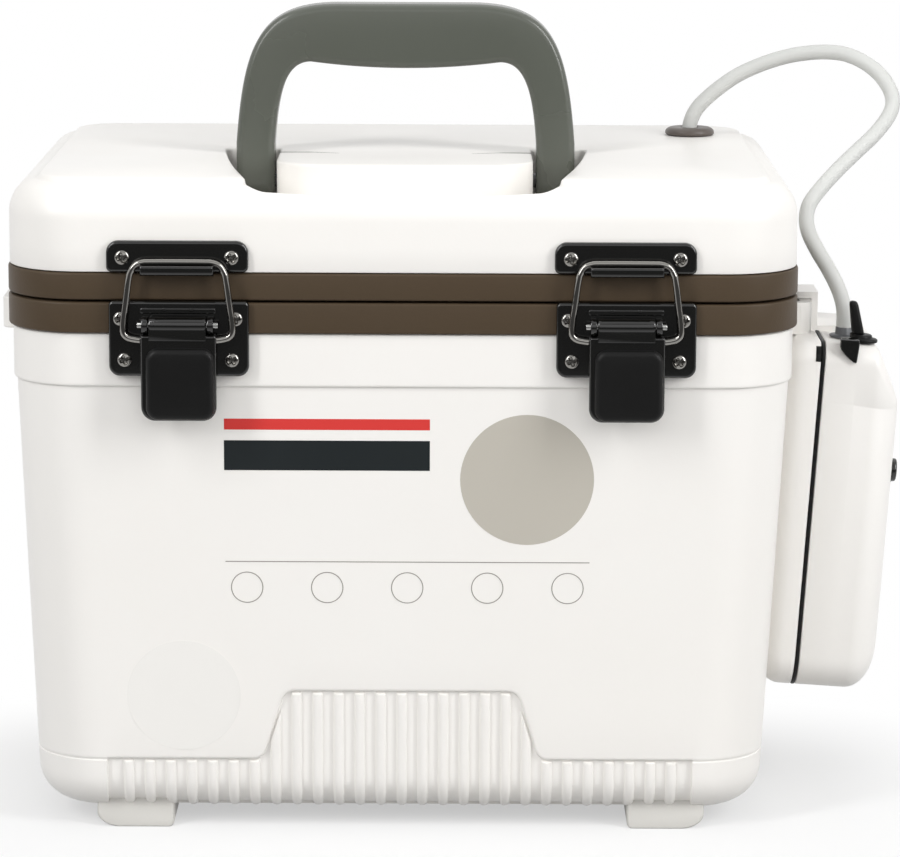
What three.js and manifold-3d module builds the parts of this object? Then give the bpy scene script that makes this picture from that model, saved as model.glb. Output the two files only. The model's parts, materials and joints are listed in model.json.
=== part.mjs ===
// Aerated bait bucket: an insulated box with a gasketed lid, a folding carry handle, two over-centre
// latches with wire bails, and a battery air pump hung on one strap lug.
// Millimetres, +Z up, +X to the right, the front faces -Y. Built with the tub centred on x = 0 and y = 0,
// feet on z = 0; the last lines move the whole group so that its origin is the middle of its foot.

import * as THREE from 'three';
import { LoftGeometry } from 'three/addons/geometries/LoftGeometry.js';
import { mergeVertices } from 'three/addons/utils/BufferGeometryUtils.js';
import Module from 'manifold-3d';

const wasm = await Module();
wasm.setup();

// Gaps and cuts
const seatGap = 0.3;
const runningGap = 0.35;
const overrun = 2;
const weld = 0.0001;

// Facets
const cornerSteps = 4;
const edgeSteps = 2;
const pinSides = 10;
const roundSides = 16;
const curveTension = 0.5;

// Tub: the plan is a rounded rectangle that tapers towards the floor
const bandHalfX = 149;
const bandHalfY = 105.5;
const bandRadius = 29.5;
const bandThickness = 10;
const bandEdge = 0.9;
const footHeight = 9;
const bodyHeight = 167;
const collarHeight = 18.4;
const lowerBandHeight = 11.3;
const collarSetBack = 1.6;
const bodySetBack = 2.8;
const draft = THREE.MathUtils.degToRad(2.75);
const bottomEdgeRadius = 14;
const shellWall = 3.6;
const linerWall = 2.5;
const insulationWall = 15.7;
const floorThickness = 19;
const linerDraft = THREE.MathUtils.degToRad(2.1);
const linerRadius = 18;
const linerBottomRadius = 9;
const linerFlange = 2.5;

// Ribbed foot of the front and back walls
const ribPitch = 7.91;
const ribWidth = 4;
const ribCrest = 1.7;
const ribDepth = 1.6;
const ribRoot = 0.8;
const ribZoneHalf = 110.7;
const seamRise = 20.6;
const notchRise = 26.9;
const notchTopHalf = 37;
const notchFootHalf = 59;
const notchFirstShare = 0.42;
const notchSecondShare = 0.62;

// Feet
const footWidth = 29.6;
const footLength = 30;
const footCentreInset = 48;
const footSetBack = 13.5;
const footCorner = 4;

// Lid
const partingGap = 1.1;
const upperBandHeight = 9;
const lidHeight = 44;
const lidSetBack = 0.6;
const lidWall = 3;
const shoulderRun = 10.5;
const shoulderRise = 13;
const plateauStep = 2;
const plateauStepRun = 1.5;
const lidFlangeHeight = 5;
const plugClearance = 3.5;
const plugDrop = 7;
const gasketWidth = 4.5;
const gasketHeight = 2.8;
const gasketMargin = 2.5;

// Pocket that the handle folds into, with the block in its middle
const pocketSideRoom = 4.8;
const pocketFrontTaper = 7.2;
const pocketRearRoom = 12;
const pocketFrontInset = 4;
const pocketSideInset = 15.5;
const pocketDepth = 20.5;
const pocketWall = 3;
const pocketCorner = 6;
const blockSideRoom = 1.6;
const blockFrontRoom = 2.5;
const blockCorner = 20;

// Carry handle
const handleHalf = 66.2;
const handleArm = 15;
const handleRise = 69.5;
const handleThickness = 16;
const handleEdge = 3;
const handleEdgeSteps = 2;
const gripDepth = 25;
const gripBow = 2.4;
const handlePivotY = -8;
const handlePivotDepth = 11;
const handlePinRadius = 3;
const handlePinLength = 30;
const handleBossRadius = 7;
const handleBossReach = 7;
const archFootShare = 0.5;
const archSideShare = 0.1;
const archHeadShare = 0.35;
const archEndShare = 0.95;
const shoulderSideShare = 0.2;
const shoulderTopShare = 0.6;

// Over-centre latches
const latchInset = 66;
const plateWidth = 51.6;
const plateThickness = 2.2;
const plateCorner = 4.5;
const plateHeight = 26.6;
const catchHeight = 12.3;
const catchLift = 1.1;
const catchHalf = 13.5;
const catchReach = 8.7;
const catchLedge = 3.2;
const catchLipHeight = 1.2;
const catchLipThickness = 1.8;
const catchLipFootThickness = 2.3;
const latchPinRadius = 1.25;
const latchPinHalf = 15;
const leverPivotDrop = 7.5;
const leverKnuckle = 3.2;
const earInner = 11;
const earThickness = 2.3;
const leverHalf = 14;
const leverPlate = 2;
const leverFlangeReach = 1.9;
const leverFlangeThickness = 1.8;
const leverLength = 34.4;
const leverShoulder = 3.6;
const leverCorner = 4.5;
const leverCornerShare = 0.3;
const padHalf = 12.8;
const padLength = 26.2;
const padThickness = 3.6;
const padEdge = 1.8;
const bailWire = 2.4;
const bailPivotDrop = 5.6;
const bailPivotInset = 0.9;
const bailTopHalf = 15.4;
const bailFootHalf = 20.2;
const bailBarLift = 1.6;
const bailCorner = 4.5;
const bailShoulderDrop = 5.85;
const bailSides = 8;
const bailSteps = 24;

// Hinges
const hingeKnuckle = 3.2;
const hingePinRadius = 1.4;
const hingeHalf = 18;
const hingeMiddleHalf = 6;
const hingeLeaf = 16;
const hingePlate = 2.2;

// Strap lugs
const lugHalf = 25;
const lugReach = 12;
const lugHeight = 12.4;
const lugBack = 2.5;
const lugBar = 4.5;
const lugEnd = 5;

// Air pump
const pumpY = -4;
const pumpStandOff = 9.1;
const pumpHang = 13.4;
const pumpLean = THREE.MathUtils.degToRad(3.7);
const pumpHalfWidth = 44;
const pumpHalfHeight = 69.3;
const pumpTopCorner = 8;
const pumpFootCorner = 14;
const pumpWall = 2.5;
const pumpBackDepth = 13.4;
const pumpBackRound = 8;
const pumpFrontDepth = 32;
const pumpFrontRoundIn = 18;
const pumpFrontRoundDeep = 13;
const pumpFlatTop = 21.2;
const pumpSlantDrop = 23;
const pumpGasketThickness = 2.4;
const pumpGasketWidth = 3.2;
const pumpGasketProud = 0.2;
const barbOffset = 8.9;
const barbY = -24.5;
const barbThroatRadius = 2.2;
const barbFlangeRadius = 5.5;
const barbFlangeHeight = 1;
const barbCollarRadius = 3.2;
const barbCollarHeight = 4;
const cellRadius = 17.1;
const cellLength = 61.5;
const cellNubRadius = 4.8;
const cellNubHeight = 1.5;
const cellRest = 7.8;
const cellSpread = 17.4;
const motorGap = 1.5;
const motorRadius = 14;
const motorLength = 34;
const motorBoxHalf = 26;
const motorBoxHeight = 20;
const toggleOffset = 15.9;
const toggleY = -33.5;
const toggleDiscRadius = 5.5;
const toggleDiscHeight = 1.6;
const toggleRingRadius = 4.2;
const toggleRingHeight = 3;
const togglePivotX = -2.5;
const togglePivotRise = 3.8;
const toggleFingerHeight = 11.9;
const toggleFingerHalf = 2.35;
const toggleTipHalf = 1.6;
const toggleTipLean = 2.7;
const toggleDepthShare = 1.2;
const toggleRoundShare = 0.6;
const knobRadius = 4.9;
const knobHeight = 3.1;
const knobY = -16;
const knobRise = 16.4;
const knobEdge = 0.8;
const tabOffset = 9.6;
const tabHalf = 3.7;
const tabThickness = 2;
const tabRest = 0.6;
const tabSquareShare = 0.15;
const tabTipShare = 0.6;
const tabStartAngle = THREE.MathUtils.degToRad(25);
const tabEndAngle = THREE.MathUtils.degToRad(78);
const clipHalf = 10;
const clipY = -5;
const clipThickness = 2.6;
const clipFootReach = 8.2;
const clipTongueDrop = 10;
const clipPlay = 1.2;

// Air line
const hoseRadius = 3;
const hoseSides = 8;
const hoseSteps = 34;
const innerHoseSteps = 14;
const grommetInsetX = 33.5;
const grommetInsetY = 47.5;
const grommetRadius = 10;
const grommetFlange = 3;
const sleeveRadius = 5;
const sleeveBore = 3.4;
const sleeveSocket = 6;
const sleeveThroat = 2;
const stoneRadius = 9;
const stoneHeight = 26;
const stoneNippleRadius = 2.6;
const stoneNippleHeight = 5;
const stoneInsetX = 48;
const stoneInsetY = 55.5;

// Levels
const bodyBottomZ = footHeight;
const collarZ = bodyBottomZ + bodyHeight;
const shellTopZ = collarZ + collarHeight;
const lowerBandZ = shellTopZ + seatGap;
const rimZ = lowerBandZ + lowerBandHeight;
const lidBottomZ = rimZ + partingGap;
const lidShellZ = lidBottomZ + upperBandHeight + seatGap;
const plateauZ = lidBottomZ + lidHeight;
const pocketFloorZ = plateauZ - pocketDepth;
const linerFloorZ = bodyBottomZ + floorThickness;
const hingeZ = rimZ + partingGap / 2;
const hingeY = bandHalfY + seatGap + hingeKnuckle;
const latchFrontY = -(bandHalfY + seatGap + plateThickness);
const leverPivotZ = rimZ - leverPivotDrop;
const leverPivotY = latchFrontY - seatGap - leverKnuckle;
const catchZ = lidBottomZ + upperBandHeight + catchLift;
const catchFloorZ = catchZ + catchLedge;
const bailBarZ = catchFloorZ + bailBarLift;
const bailPivotY = leverPivotY + bailPivotInset;
const bailPivotZ = leverPivotZ - bailPivotDrop;
const handlePivotZ = plateauZ - handlePivotDepth;

// Places that follow the box and the handle
const footCentreX = bandHalfX - footCentreInset;
const latchX = bandHalfX - latchInset;
const pumpSeamX = bandHalfX + pumpStandOff;
const pumpMiddleZ = shellTopZ - pumpHang - pumpHalfHeight;
const grommetX = bandHalfX - grommetInsetX;
const grommetY = bandHalfY - grommetInsetY;
const stoneX = bandHalfX - stoneInsetX;
const stoneY = bandHalfY - stoneInsetY;
const pocketRearHalf = handleHalf + pocketSideRoom;
const pocketFrontHalf = handleHalf - pocketFrontTaper;
const pocketRearY = handlePivotY + pocketRearRoom;
const pocketFrontY = -(bandHalfY - pocketFrontInset);
const pocketSideY = -(bandHalfY - pocketSideInset);
const blockHalf = handleHalf - handleArm - blockSideRoom;
const blockFrontY = handlePivotY - (handleRise - gripDepth - blockFrontRoom);
const cellMiddleX = cellRadius + seatGap + pumpWall - pumpBackDepth;

// The hose's route: from the grommet in the lid, over and down to the pump's barb
const hoseRoute = [
  [115.5, 58, 248.7], [115.5, 58, 255], [117.5, 57.8, 260.5], [121, 57.2, 265], [127, 56, 270.5],
  [134.5, 54, 276], [143.5, 51, 280.6], [153, 47.5, 284.1], [161.4, 44, 286], [169.5, 40.2, 286.8],
  [176.8, 36.4, 286.2], [183.8, 32, 283.4], [189.4, 27.8, 279.1], [193.1, 23.8, 273.7],
  [194.2, 20.6, 268.8], [192.3, 17, 263.6], [186.5, 11.6, 257], [178.5, 5.2, 250.5], [171, -1, 244.4],
  [164.2, -6.8, 238.1], [159.1, -11.5, 232.2], [157.4, -15.2, 226.9], [158.2, -18.4, 221.2],
  [161.5, -21.8, 214.5], [165.5, -24.8, 208], [168.8, -27, 201.7], [171, -28.2, 195.6],
  [171.7, -28.5, 190.6], [171.7, -28.5, 185.1],
];

// The inner hose's route: from under the lid to the air stone on the floor
const innerHoseRoute = [
  [115.5, 58, 199.8], [115.5, 58, 190], [114.5, 58, 165], [111.5, 56.5, 130], [107, 53.5, 95],
  [103, 51, 72], [101, 50, 65], [101, 50, 59.6],
];

// Solids from geometries and back
function solidOf(geometry) {
  const bare = new THREE.BufferGeometry();
  bare.setAttribute('position', geometry.getAttribute('position').clone());
  if (geometry.index) bare.setIndex(geometry.index.clone());
  const welded = mergeVertices(bare, weld);
  const points = Float32Array.from(welded.getAttribute('position').array);
  const faces = Uint32Array.from(welded.index.array).filter((corner, at, all) => {
    const start = at - (at % 3);
    const [a, b, c] = [all[start], all[start + 1], all[start + 2]];
    return a !== b && b !== c && c !== a;
  });
  if (signedVolume(points, faces) < 0) {
    for (let at = 0; at < faces.length; at += 3) {
      [faces[at + 1], faces[at + 2]] = [faces[at + 2], faces[at + 1]];
    }
  }
  return new wasm.Manifold(new wasm.Mesh({ numProp: 3, vertProperties: points, triVerts: faces }));
}

function signedVolume(points, faces) {
  const corner = (at) => new THREE.Vector3().fromArray(points, faces[at] * 3);
  let total = 0;
  for (let at = 0; at < faces.length; at += 3) {
    total += corner(at).dot(corner(at + 1).cross(corner(at + 2))) / 6;
  }
  return total;
}

function geometryOf(solid) {
  const mesh = solid.getMesh();
  const geometry = new THREE.BufferGeometry();
  geometry.setAttribute('position', new THREE.BufferAttribute(Float32Array.from(mesh.vertProperties), 3));
  geometry.setIndex(Array.from(mesh.triVerts));
  geometry.computeVertexNormals();
  return geometry;
}

function unite(solids) {
  return solids.reduce((all, next) => all.add(next));
}

// Outlines and basic solids
function roundedOutline(halfX, halfY, radius, steps = cornerSteps) {
  const points = [];
  [[1, 1], [-1, 1], [-1, -1], [1, -1]].forEach(([sideX, sideY], quarter) => {
    for (let step = 0; step <= steps; step += 1) {
      const angle = (quarter + step / steps) * Math.PI / 2;
      points.push(new THREE.Vector2(
        sideX * (halfX - radius) + radius * Math.cos(angle),
        sideY * (halfY - radius) + radius * Math.sin(angle),
      ));
    }
  });
  return points;
}

// Sections run anticlockwise as seen from the last one, so others are turned round
function loft(sections) {
  const [first, second] = sections;
  const facing = new THREE.Vector3();
  first.forEach((point, at) => facing.add(point.clone().cross(first[(at + 1) % first.length])));
  const onward = new THREE.Vector3();
  first.forEach((point, at) => onward.add(second[at]).sub(point));
  const ordered = facing.dot(onward) < 0 ? sections.map((section) => [...section].reverse()) : sections;
  return solidOf(new LoftGeometry(ordered, { closed: true, capStart: true, capEnd: true }));
}

// A stack of rounded rectangles: each level is [z, halfX, halfY, radius]
function stack(levels, steps = cornerSteps) {
  return loft(levels.map(([z, halfX, halfY, radius]) => roundedOutline(halfX, halfY, radius, steps)
    .map((point) => new THREE.Vector3(point.x, point.y, z))));
}

function shapeOf(points) {
  return new THREE.Shape(points.map((point) => (Array.isArray(point) ? new THREE.Vector2(...point) : point)));
}

function extruded(shape, depth, curveSegments) {
  return new THREE.ExtrudeGeometry(shape, { depth, bevelEnabled: false, curveSegments });
}

// A shape drawn in x and y, standing between two heights
function upright(shape, fromZ, toZ, curveSegments = cornerSteps) {
  const geometry = extruded(shape, toZ - fromZ, curveSegments);
  return solidOf(geometry.translate(0, 0, fromZ));
}

// A shape drawn in x and z, running back from a front face
function frontal(shape, frontY, backY, curveSegments = cornerSteps) {
  const geometry = extruded(shape, backY - frontY, curveSegments);
  return solidOf(geometry.rotateX(Math.PI / 2).translate(0, backY, 0));
}

// A shape drawn in y and z, running along x
function sideways(shape, fromX, toX, curveSegments = cornerSteps) {
  const geometry = extruded(shape, toX - fromX, curveSegments);
  const turn = new THREE.Matrix4().makeBasis(
    new THREE.Vector3(0, 1, 0),
    new THREE.Vector3(0, 0, 1),
    new THREE.Vector3(1, 0, 0),
  );
  return solidOf(geometry.applyMatrix4(turn).translate(fromX, 0, 0));
}

function box(fromX, toX, fromY, toY, fromZ, toZ) {
  const geometry = new THREE.BoxGeometry(toX - fromX, toY - fromY, toZ - fromZ);
  return solidOf(geometry.translate((fromX + toX) / 2, (fromY + toY) / 2, (fromZ + toZ) / 2));
}

function rodAlongX(radius, fromX, toX, y, z, sides = pinSides) {
  const geometry = new THREE.CylinderGeometry(radius, radius, toX - fromX, sides);
  return solidOf(geometry.rotateZ(Math.PI / 2).translate((fromX + toX) / 2, y, z));
}

function post(radius, fromZ, toZ, x, y, sides = roundSides) {
  const geometry = new THREE.CylinderGeometry(radius, radius, toZ - fromZ, sides);
  return solidOf(geometry.rotateX(Math.PI / 2).translate(x, y, (fromZ + toZ) / 2));
}

function tubeAlong(points, radius, sides, steps) {
  const section = new THREE.Shape();
  for (let side = 0; side < sides; side += 1) {
    const angle = side / sides * Math.PI * 2;
    const spot = [radius * Math.cos(angle), radius * Math.sin(angle)];
    if (side === 0) section.moveTo(...spot);
    else section.lineTo(...spot);
  }
  const route = points.map((point) => new THREE.Vector3(...point));
  const extrudePath = new THREE.CatmullRomCurve3(route, false, 'catmullrom', curveTension);
  return solidOf(new THREE.ExtrudeGeometry(section, { steps, extrudePath, bevelEnabled: false }));
}

// Half the body's width or depth at a height, without its bottom edge
function bodyHalf(bandHalf, z) {
  return bandHalf - bodySetBack - (collarZ - z) * Math.tan(draft);
}

// Where the body's rounded bottom edge is at an angle from the wall, set in by some inset
function bottomEdge(bandHalf, angle, inset) {
  const z = bodyBottomZ + bottomEdgeRadius * (1 - Math.sin(angle));
  const half = bodyHalf(bandHalf, z) - bottomEdgeRadius * (1 - Math.cos(angle));
  return { half: half - inset * Math.cos(angle), z: z + inset * Math.sin(angle) };
}

// The tub's outer form, set in by some inset, up to a height
function bodyForm(inset, topZ) {
  const bodyRadius = bandRadius - bodySetBack - inset;
  const levels = [];
  for (let step = edgeSteps + 1; step >= 0; step -= 1) {
    const angle = step / (edgeSteps + 1) * Math.PI / 2;
    const alongX = bottomEdge(bandHalfX, angle, inset);
    const alongY = bottomEdge(bandHalfY, angle, inset);
    const drawnIn = (bottomEdgeRadius - inset) * (1 - Math.cos(angle));
    levels.push([alongX.z, alongX.half, alongY.half, bodyRadius - drawnIn]);
  }
  const wallTop = Math.min(topZ, collarZ);
  const [wallHalfX, wallHalfY] = [bandHalfX, bandHalfY].map((half) => bodyHalf(half, wallTop) - inset);
  levels.push([wallTop, wallHalfX, wallHalfY, bodyRadius]);
  if (topZ <= collarZ) return stack(levels);
  const collar = (z) => [
    z,
    bandHalfX - collarSetBack - inset,
    bandHalfY - collarSetBack - inset,
    bandRadius - collarSetBack - inset,
  ];
  return stack([...levels, collar(collarZ + bodySetBack - collarSetBack), collar(topZ)]);
}

// The tub's inner form: the room for the water, grown by some amount
function roomForm(grow, topZ) {
  const radius = linerBottomRadius + grow;
  const floorZ = linerFloorZ - grow;
  const topHalfX = bandHalfX - shellWall - insulationWall - linerWall;
  const topHalfY = bandHalfY - shellWall - insulationWall - linerWall;
  const level = (z, extra) => {
    const inset = (rimZ - z) * Math.tan(linerDraft) + extra - grow;
    return [z, topHalfX - inset, topHalfY - inset, linerRadius + grow - extra / 2];
  };
  const levels = [];
  for (let step = edgeSteps; step >= 0; step -= 1) {
    const angle = step / edgeSteps * Math.PI / 2;
    levels.push(level(floorZ + radius * (1 - Math.sin(angle)), radius * (1 - Math.cos(angle))));
  }
  return stack([...levels, level(topZ, 0)]);
}

function ringWithin(halfX, halfY, radius, fromZ, toZ) {
  return stack([[fromZ, halfX, halfY, radius], [toZ, halfX, halfY, radius]]);
}

// The outline that the ribbed foot fills, seen from the front
function notchShape() {
  const seamZ = bodyBottomZ + seamRise;
  const topZ = seamZ + notchRise;
  const bottomZ = bodyBottomZ - overrun;
  const run = notchFootHalf - notchTopHalf;
  const shape = new THREE.Shape();
  shape.moveTo(-ribZoneHalf, bottomZ);
  shape.lineTo(ribZoneHalf, bottomZ);
  shape.lineTo(ribZoneHalf, seamZ);
  shape.lineTo(notchFootHalf, seamZ);
  shape.bezierCurveTo(
    notchFootHalf - run * notchSecondShare,
    seamZ,
    notchTopHalf + run * notchFirstShare,
    topZ,
    notchTopHalf,
    topZ,
  );
  shape.lineTo(-notchTopHalf, topZ);
  shape.bezierCurveTo(
    -notchTopHalf - run * notchFirstShare,
    topZ,
    -notchFootHalf + run * notchSecondShare,
    seamZ,
    -notchFootHalf,
    seamZ,
  );
  shape.lineTo(-ribZoneHalf, seamZ);
  return shape;
}

// One rib, from above the notch, down the wall, round the bottom edge and under
function ribSolid(x, side) {
  const topZ = bodyBottomZ + bottomEdgeRadius + seamRise + notchRise;
  const stations = [{ half: bodyHalf(bandHalfY, topZ), z: topZ, angle: 0 }];
  for (let step = 0; step <= edgeSteps + 1; step += 1) {
    const angle = step / (edgeSteps + 1) * Math.PI / 2;
    stations.push({ ...bottomEdge(bandHalfY, angle, 0), angle });
  }
  const last = stations[stations.length - 1];
  stations.push({ ...last, half: last.half - overrun });
  const rootHalf = ribCrest / 2 + (ribWidth - ribCrest) / 2 * (ribDepth + ribRoot) / ribDepth;
  const profile = [
    [-ribCrest / 2, 0], [-rootHalf, ribDepth + ribRoot], [rootHalf, ribDepth + ribRoot], [ribCrest / 2, 0],
  ];
  return loft(stations.map(({ half, z, angle }) => profile.map(([across, deep]) => new THREE.Vector3(
    x + across,
    side * (half - deep * Math.cos(angle)),
    z + deep * Math.sin(angle),
  ))));
}

function makeTubShell() {
  const ribCount = 2 * Math.floor((ribZoneHalf - ribWidth) / ribPitch) + 1;
  const reachY = bottomEdge(bandHalfY, Math.PI / 2, 0).half;
  const zones = unite([-1, 1].map((side) => {
    const ends = [side * reachY, side * (bandHalfY + overrun)];
    return frontal(notchShape(), Math.min(...ends), Math.max(...ends));
  }));
  const ribs = unite([-1, 1].flatMap((side) => Array.from({ length: ribCount }, (_, at) => (
    ribSolid((at - (ribCount - 1) / 2) * ribPitch, side)
  ))));
  const outside = bodyForm(0, shellTopZ);
  const sunk = outside.subtract(zones.subtract(bodyForm(ribDepth, collarZ)));
  return sunk.add(ribs.intersect(zones)).subtract(bodyForm(shellWall, shellTopZ + overrun));
}

function makeTubLiner() {
  const flange = ringWithin(
    bandHalfX - bandThickness - seatGap,
    bandHalfY - bandThickness - seatGap,
    bandRadius - bandThickness,
    rimZ - linerFlange,
    rimZ,
  );
  return roomForm(linerWall, rimZ - linerFlange / 2).add(flange).subtract(roomForm(0, rimZ + overrun));
}

function makeTubInsulation() {
  const upper = ringWithin(
    bandHalfX - bandThickness - seatGap,
    bandHalfY - bandThickness - seatGap,
    bandRadius - bandThickness,
    shellTopZ - overrun,
    rimZ - linerFlange - seatGap,
  );
  const lower = bodyForm(shellWall + seatGap, shellTopZ);
  return lower.add(upper).subtract(roomForm(linerWall + seatGap, rimZ));
}

// A rubber band round the rim: outer edges eased, inner face straight
function makeBand(fromZ, height) {
  const toZ = fromZ + height;
  const level = (z, inset) => [z, bandHalfX - inset, bandHalfY - inset, bandRadius - inset];
  const outside = stack([
    level(fromZ, bandEdge), level(fromZ + bandEdge, 0), level(toZ - bandEdge, 0), level(toZ, bandEdge),
  ]);
  const inside = ringWithin(
    bandHalfX - bandThickness,
    bandHalfY - bandThickness,
    bandRadius - bandThickness,
    fromZ - overrun,
    toZ + overrun,
  );
  return outside.subtract(inside);
}

function makeFoot(sideX, sideY) {
  const outline = new THREE.Shape();
  const half = footWidth / 2;
  const topZ = bodyBottomZ + bottomEdgeRadius / 2;
  outline.moveTo(-half, topZ);
  outline.lineTo(-half, footCorner);
  outline.quadraticCurveTo(-half, 0, -half + footCorner, 0);
  outline.lineTo(half - footCorner, 0);
  outline.quadraticCurveTo(half, 0, half, footCorner);
  outline.lineTo(half, topZ);
  const nearY = sideY * (bandHalfY - footSetBack);
  const farY = nearY - sideY * footLength;
  const block = frontal(outline, Math.min(nearY, farY), Math.max(nearY, farY), edgeSteps);
  return block.translate([sideX * footCentreX, 0, 0]).subtract(bodyForm(-seatGap, collarZ));
}

function makeStrapLug(side) {
  const backX = bandHalfX - collarSetBack + seatGap;
  const frontX = backX + lugReach;
  const corner = lugBar;
  const outline = new THREE.Shape();
  outline.moveTo(backX, -lugHalf);
  outline.lineTo(frontX - corner, -lugHalf);
  outline.quadraticCurveTo(frontX, -lugHalf, frontX, -lugHalf + corner);
  outline.lineTo(frontX, lugHalf - corner);
  outline.quadraticCurveTo(frontX, lugHalf, frontX - corner, lugHalf);
  outline.lineTo(backX, lugHalf);
  const slot = box(
    backX + lugBack,
    frontX - lugBar,
    -lugHalf + lugEnd,
    lugHalf - lugEnd,
    shellTopZ - lugHeight - overrun,
    shellTopZ + overrun,
  );
  const lug = upright(outline, shellTopZ - lugHeight, shellTopZ, edgeSteps).subtract(slot);
  return side > 0 ? lug : lug.mirror([1, 0, 0]);
}

// Lid shell outside, and its hollow grown or shrunk by a gap
function lidLevels(inset, bottomZ, topZ) {
  const level = (z, run) => [
    z,
    bandHalfX - lidSetBack - inset - run,
    bandHalfY - lidSetBack - inset - run,
    Math.max(bandRadius - lidSetBack - inset - run, shoulderRun / 2),
  ];
  const shoulderZ = topZ - plateauStep - shoulderRise;
  const levels = [level(bottomZ, 0)];
  for (let step = 0; step <= edgeSteps + 1; step += 1) {
    const angle = step / (edgeSteps + 1) * Math.PI / 2;
    levels.push(level(shoulderZ + shoulderRise * Math.sin(angle), shoulderRun * (1 - Math.cos(angle))));
  }
  levels.push(level(topZ, shoulderRun + plateauStepRun));
  return levels;
}

function pocketShape(grow) {
  const rearHalf = pocketRearHalf + grow;
  const frontHalf = pocketFrontHalf + grow;
  const rearY = pocketRearY + grow;
  const sideY = pocketSideY;
  const frontY = pocketFrontY - grow;
  const corner = pocketCorner;
  const half = corner / 2;
  const bulgeHalf = (rearHalf + frontHalf) / 2 + half;
  const bulgeY = (rearY + sideY) / 2;
  const shape = new THREE.Shape();
  shape.moveTo(-frontHalf, sideY);
  shape.quadraticCurveTo(-frontHalf + half, frontY + half, -frontHalf + corner + corner, frontY + half / 2);
  shape.lineTo(0, frontY);
  shape.lineTo(frontHalf - corner - corner, frontY + half / 2);
  shape.quadraticCurveTo(frontHalf - half, frontY + half, frontHalf, sideY);
  shape.quadraticCurveTo(bulgeHalf, bulgeY, rearHalf, rearY - half);
  shape.quadraticCurveTo(rearHalf, rearY, rearHalf - half, rearY);
  shape.lineTo(-rearHalf + half, rearY);
  shape.quadraticCurveTo(-rearHalf, rearY, -rearHalf, rearY - half);
  shape.quadraticCurveTo(-bulgeHalf, bulgeY, -frontHalf, sideY);
  return shape;
}

function pocketForm(grow) {
  const frontY = blockFrontY + grow;
  const rearY = pocketRearY + grow + blockCorner;
  const block = roundedOutline(blockHalf - grow, (rearY - frontY) / 2, blockCorner - grow, cornerSteps)
    .map((point) => new THREE.Vector2(point.x, point.y + (rearY + frontY) / 2));
  const floorZ = pocketFloorZ - grow;
  const topZ = plateauZ + overrun;
  const blockForm = upright(shapeOf(block), floorZ - overrun, topZ + overrun);
  return upright(pocketShape(grow), floorZ, topZ).subtract(blockForm);
}

// Bosses that carry the handle's pins, in the pocket's side walls and in the block
function handleBosses(grow) {
  const ends = [
    [blockHalf - handleBossReach - grow, blockHalf],
    [pocketRearHalf - pocketWall, pocketRearHalf + handleBossReach + grow],
  ];
  return unite(ends.flatMap(([from, to]) => [-1, 1].map((side) => rodAlongX(
    handleBossRadius + grow,
    Math.min(side * from, side * to),
    Math.max(side * from, side * to),
    handlePivotY,
    handlePivotZ,
    roundSides,
  ))));
}

function handlePin(side, grow) {
  const middle = (blockHalf + pocketRearHalf) / 2;
  const half = handlePinLength / 2 + grow;
  const ends = [side * (middle - half), side * (middle + half)];
  return rodAlongX(handlePinRadius + grow, Math.min(...ends), Math.max(...ends), handlePivotY, handlePivotZ);
}

function sleeveHole() {
  const fromZ = lidBottomZ - plugDrop - overrun;
  return post(sleeveRadius + seatGap, fromZ, plateauZ + overrun, grommetX, grommetY);
}

function makeLidShell() {
  const outside = stack(lidLevels(0, lidShellZ, plateauZ));
  const hollow = stack(lidLevels(lidWall, lidShellZ - overrun, plateauZ - lidWall));
  const kept = pocketForm(pocketWall).add(handleBosses(0).subtract(pocketForm(0)));
  const pins = handlePin(-1, seatGap).add(handlePin(1, seatGap));
  const shell = outside.subtract(hollow.subtract(kept));
  return shell.subtract(pocketForm(0)).subtract(pins).subtract(sleeveHole());
}

function makeLidInsulation() {
  const flangeTopZ = lidBottomZ + lidFlangeHeight;
  const hollow = stack(lidLevels(lidWall + seatGap, lidShellZ, plateauZ - lidWall - seatGap));
  const neck = ringWithin(
    bandHalfX - bandThickness - seatGap,
    bandHalfY - bandThickness - seatGap,
    bandRadius - bandThickness,
    flangeTopZ + seatGap,
    lidShellZ + overrun,
  );
  const plug = plugForm(linerWall + seatGap, lidBottomZ - plugDrop + linerWall + seatGap, lidShellZ);
  const kept = pocketForm(pocketWall + seatGap).add(handleBosses(seatGap));
  return unite([hollow, neck, plug]).subtract(kept).subtract(sleeveHole());
}

function plugForm(inset, fromZ, toZ) {
  const wall = shellWall + insulationWall + linerWall + plugClearance + inset;
  return ringWithin(bandHalfX - wall, bandHalfY - wall, linerRadius - inset, fromZ, toZ);
}

function gasketRing(gap, fromZ, toZ) {
  const wall = bandThickness + gasketMargin;
  const outside = ringWithin(
    bandHalfX - wall + gap,
    bandHalfY - wall + gap,
    bandRadius - bandThickness + gap,
    fromZ,
    toZ,
  );
  const inner = wall + gasketWidth;
  const inside = ringWithin(
    bandHalfX - inner - gap,
    bandHalfY - inner - gap,
    bandRadius - bandThickness - gap,
    fromZ - overrun,
    toZ + overrun,
  );
  return outside.subtract(inside);
}

function makeLidLiner() {
  const flange = ringWithin(
    bandHalfX - bandThickness - seatGap,
    bandHalfY - bandThickness - seatGap,
    bandRadius - bandThickness,
    lidBottomZ + seatGap,
    lidBottomZ + lidFlangeHeight,
  );
  const plugZ = lidBottomZ - plugDrop;
  const plugTopZ = lidBottomZ + lidFlangeHeight;
  const plug = plugForm(0, plugZ, plugTopZ);
  const hollow = plugForm(linerWall, plugZ + linerWall, plugTopZ + overrun);
  const groove = gasketRing(seatGap, lidBottomZ - overrun, rimZ + seatGap + gasketHeight + seatGap);
  return flange.add(plug).subtract(hollow).subtract(groove).subtract(sleeveHole());
}

function makeLidGasket() {
  return gasketRing(0, rimZ + seatGap, rimZ + seatGap + gasketHeight);
}

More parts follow.
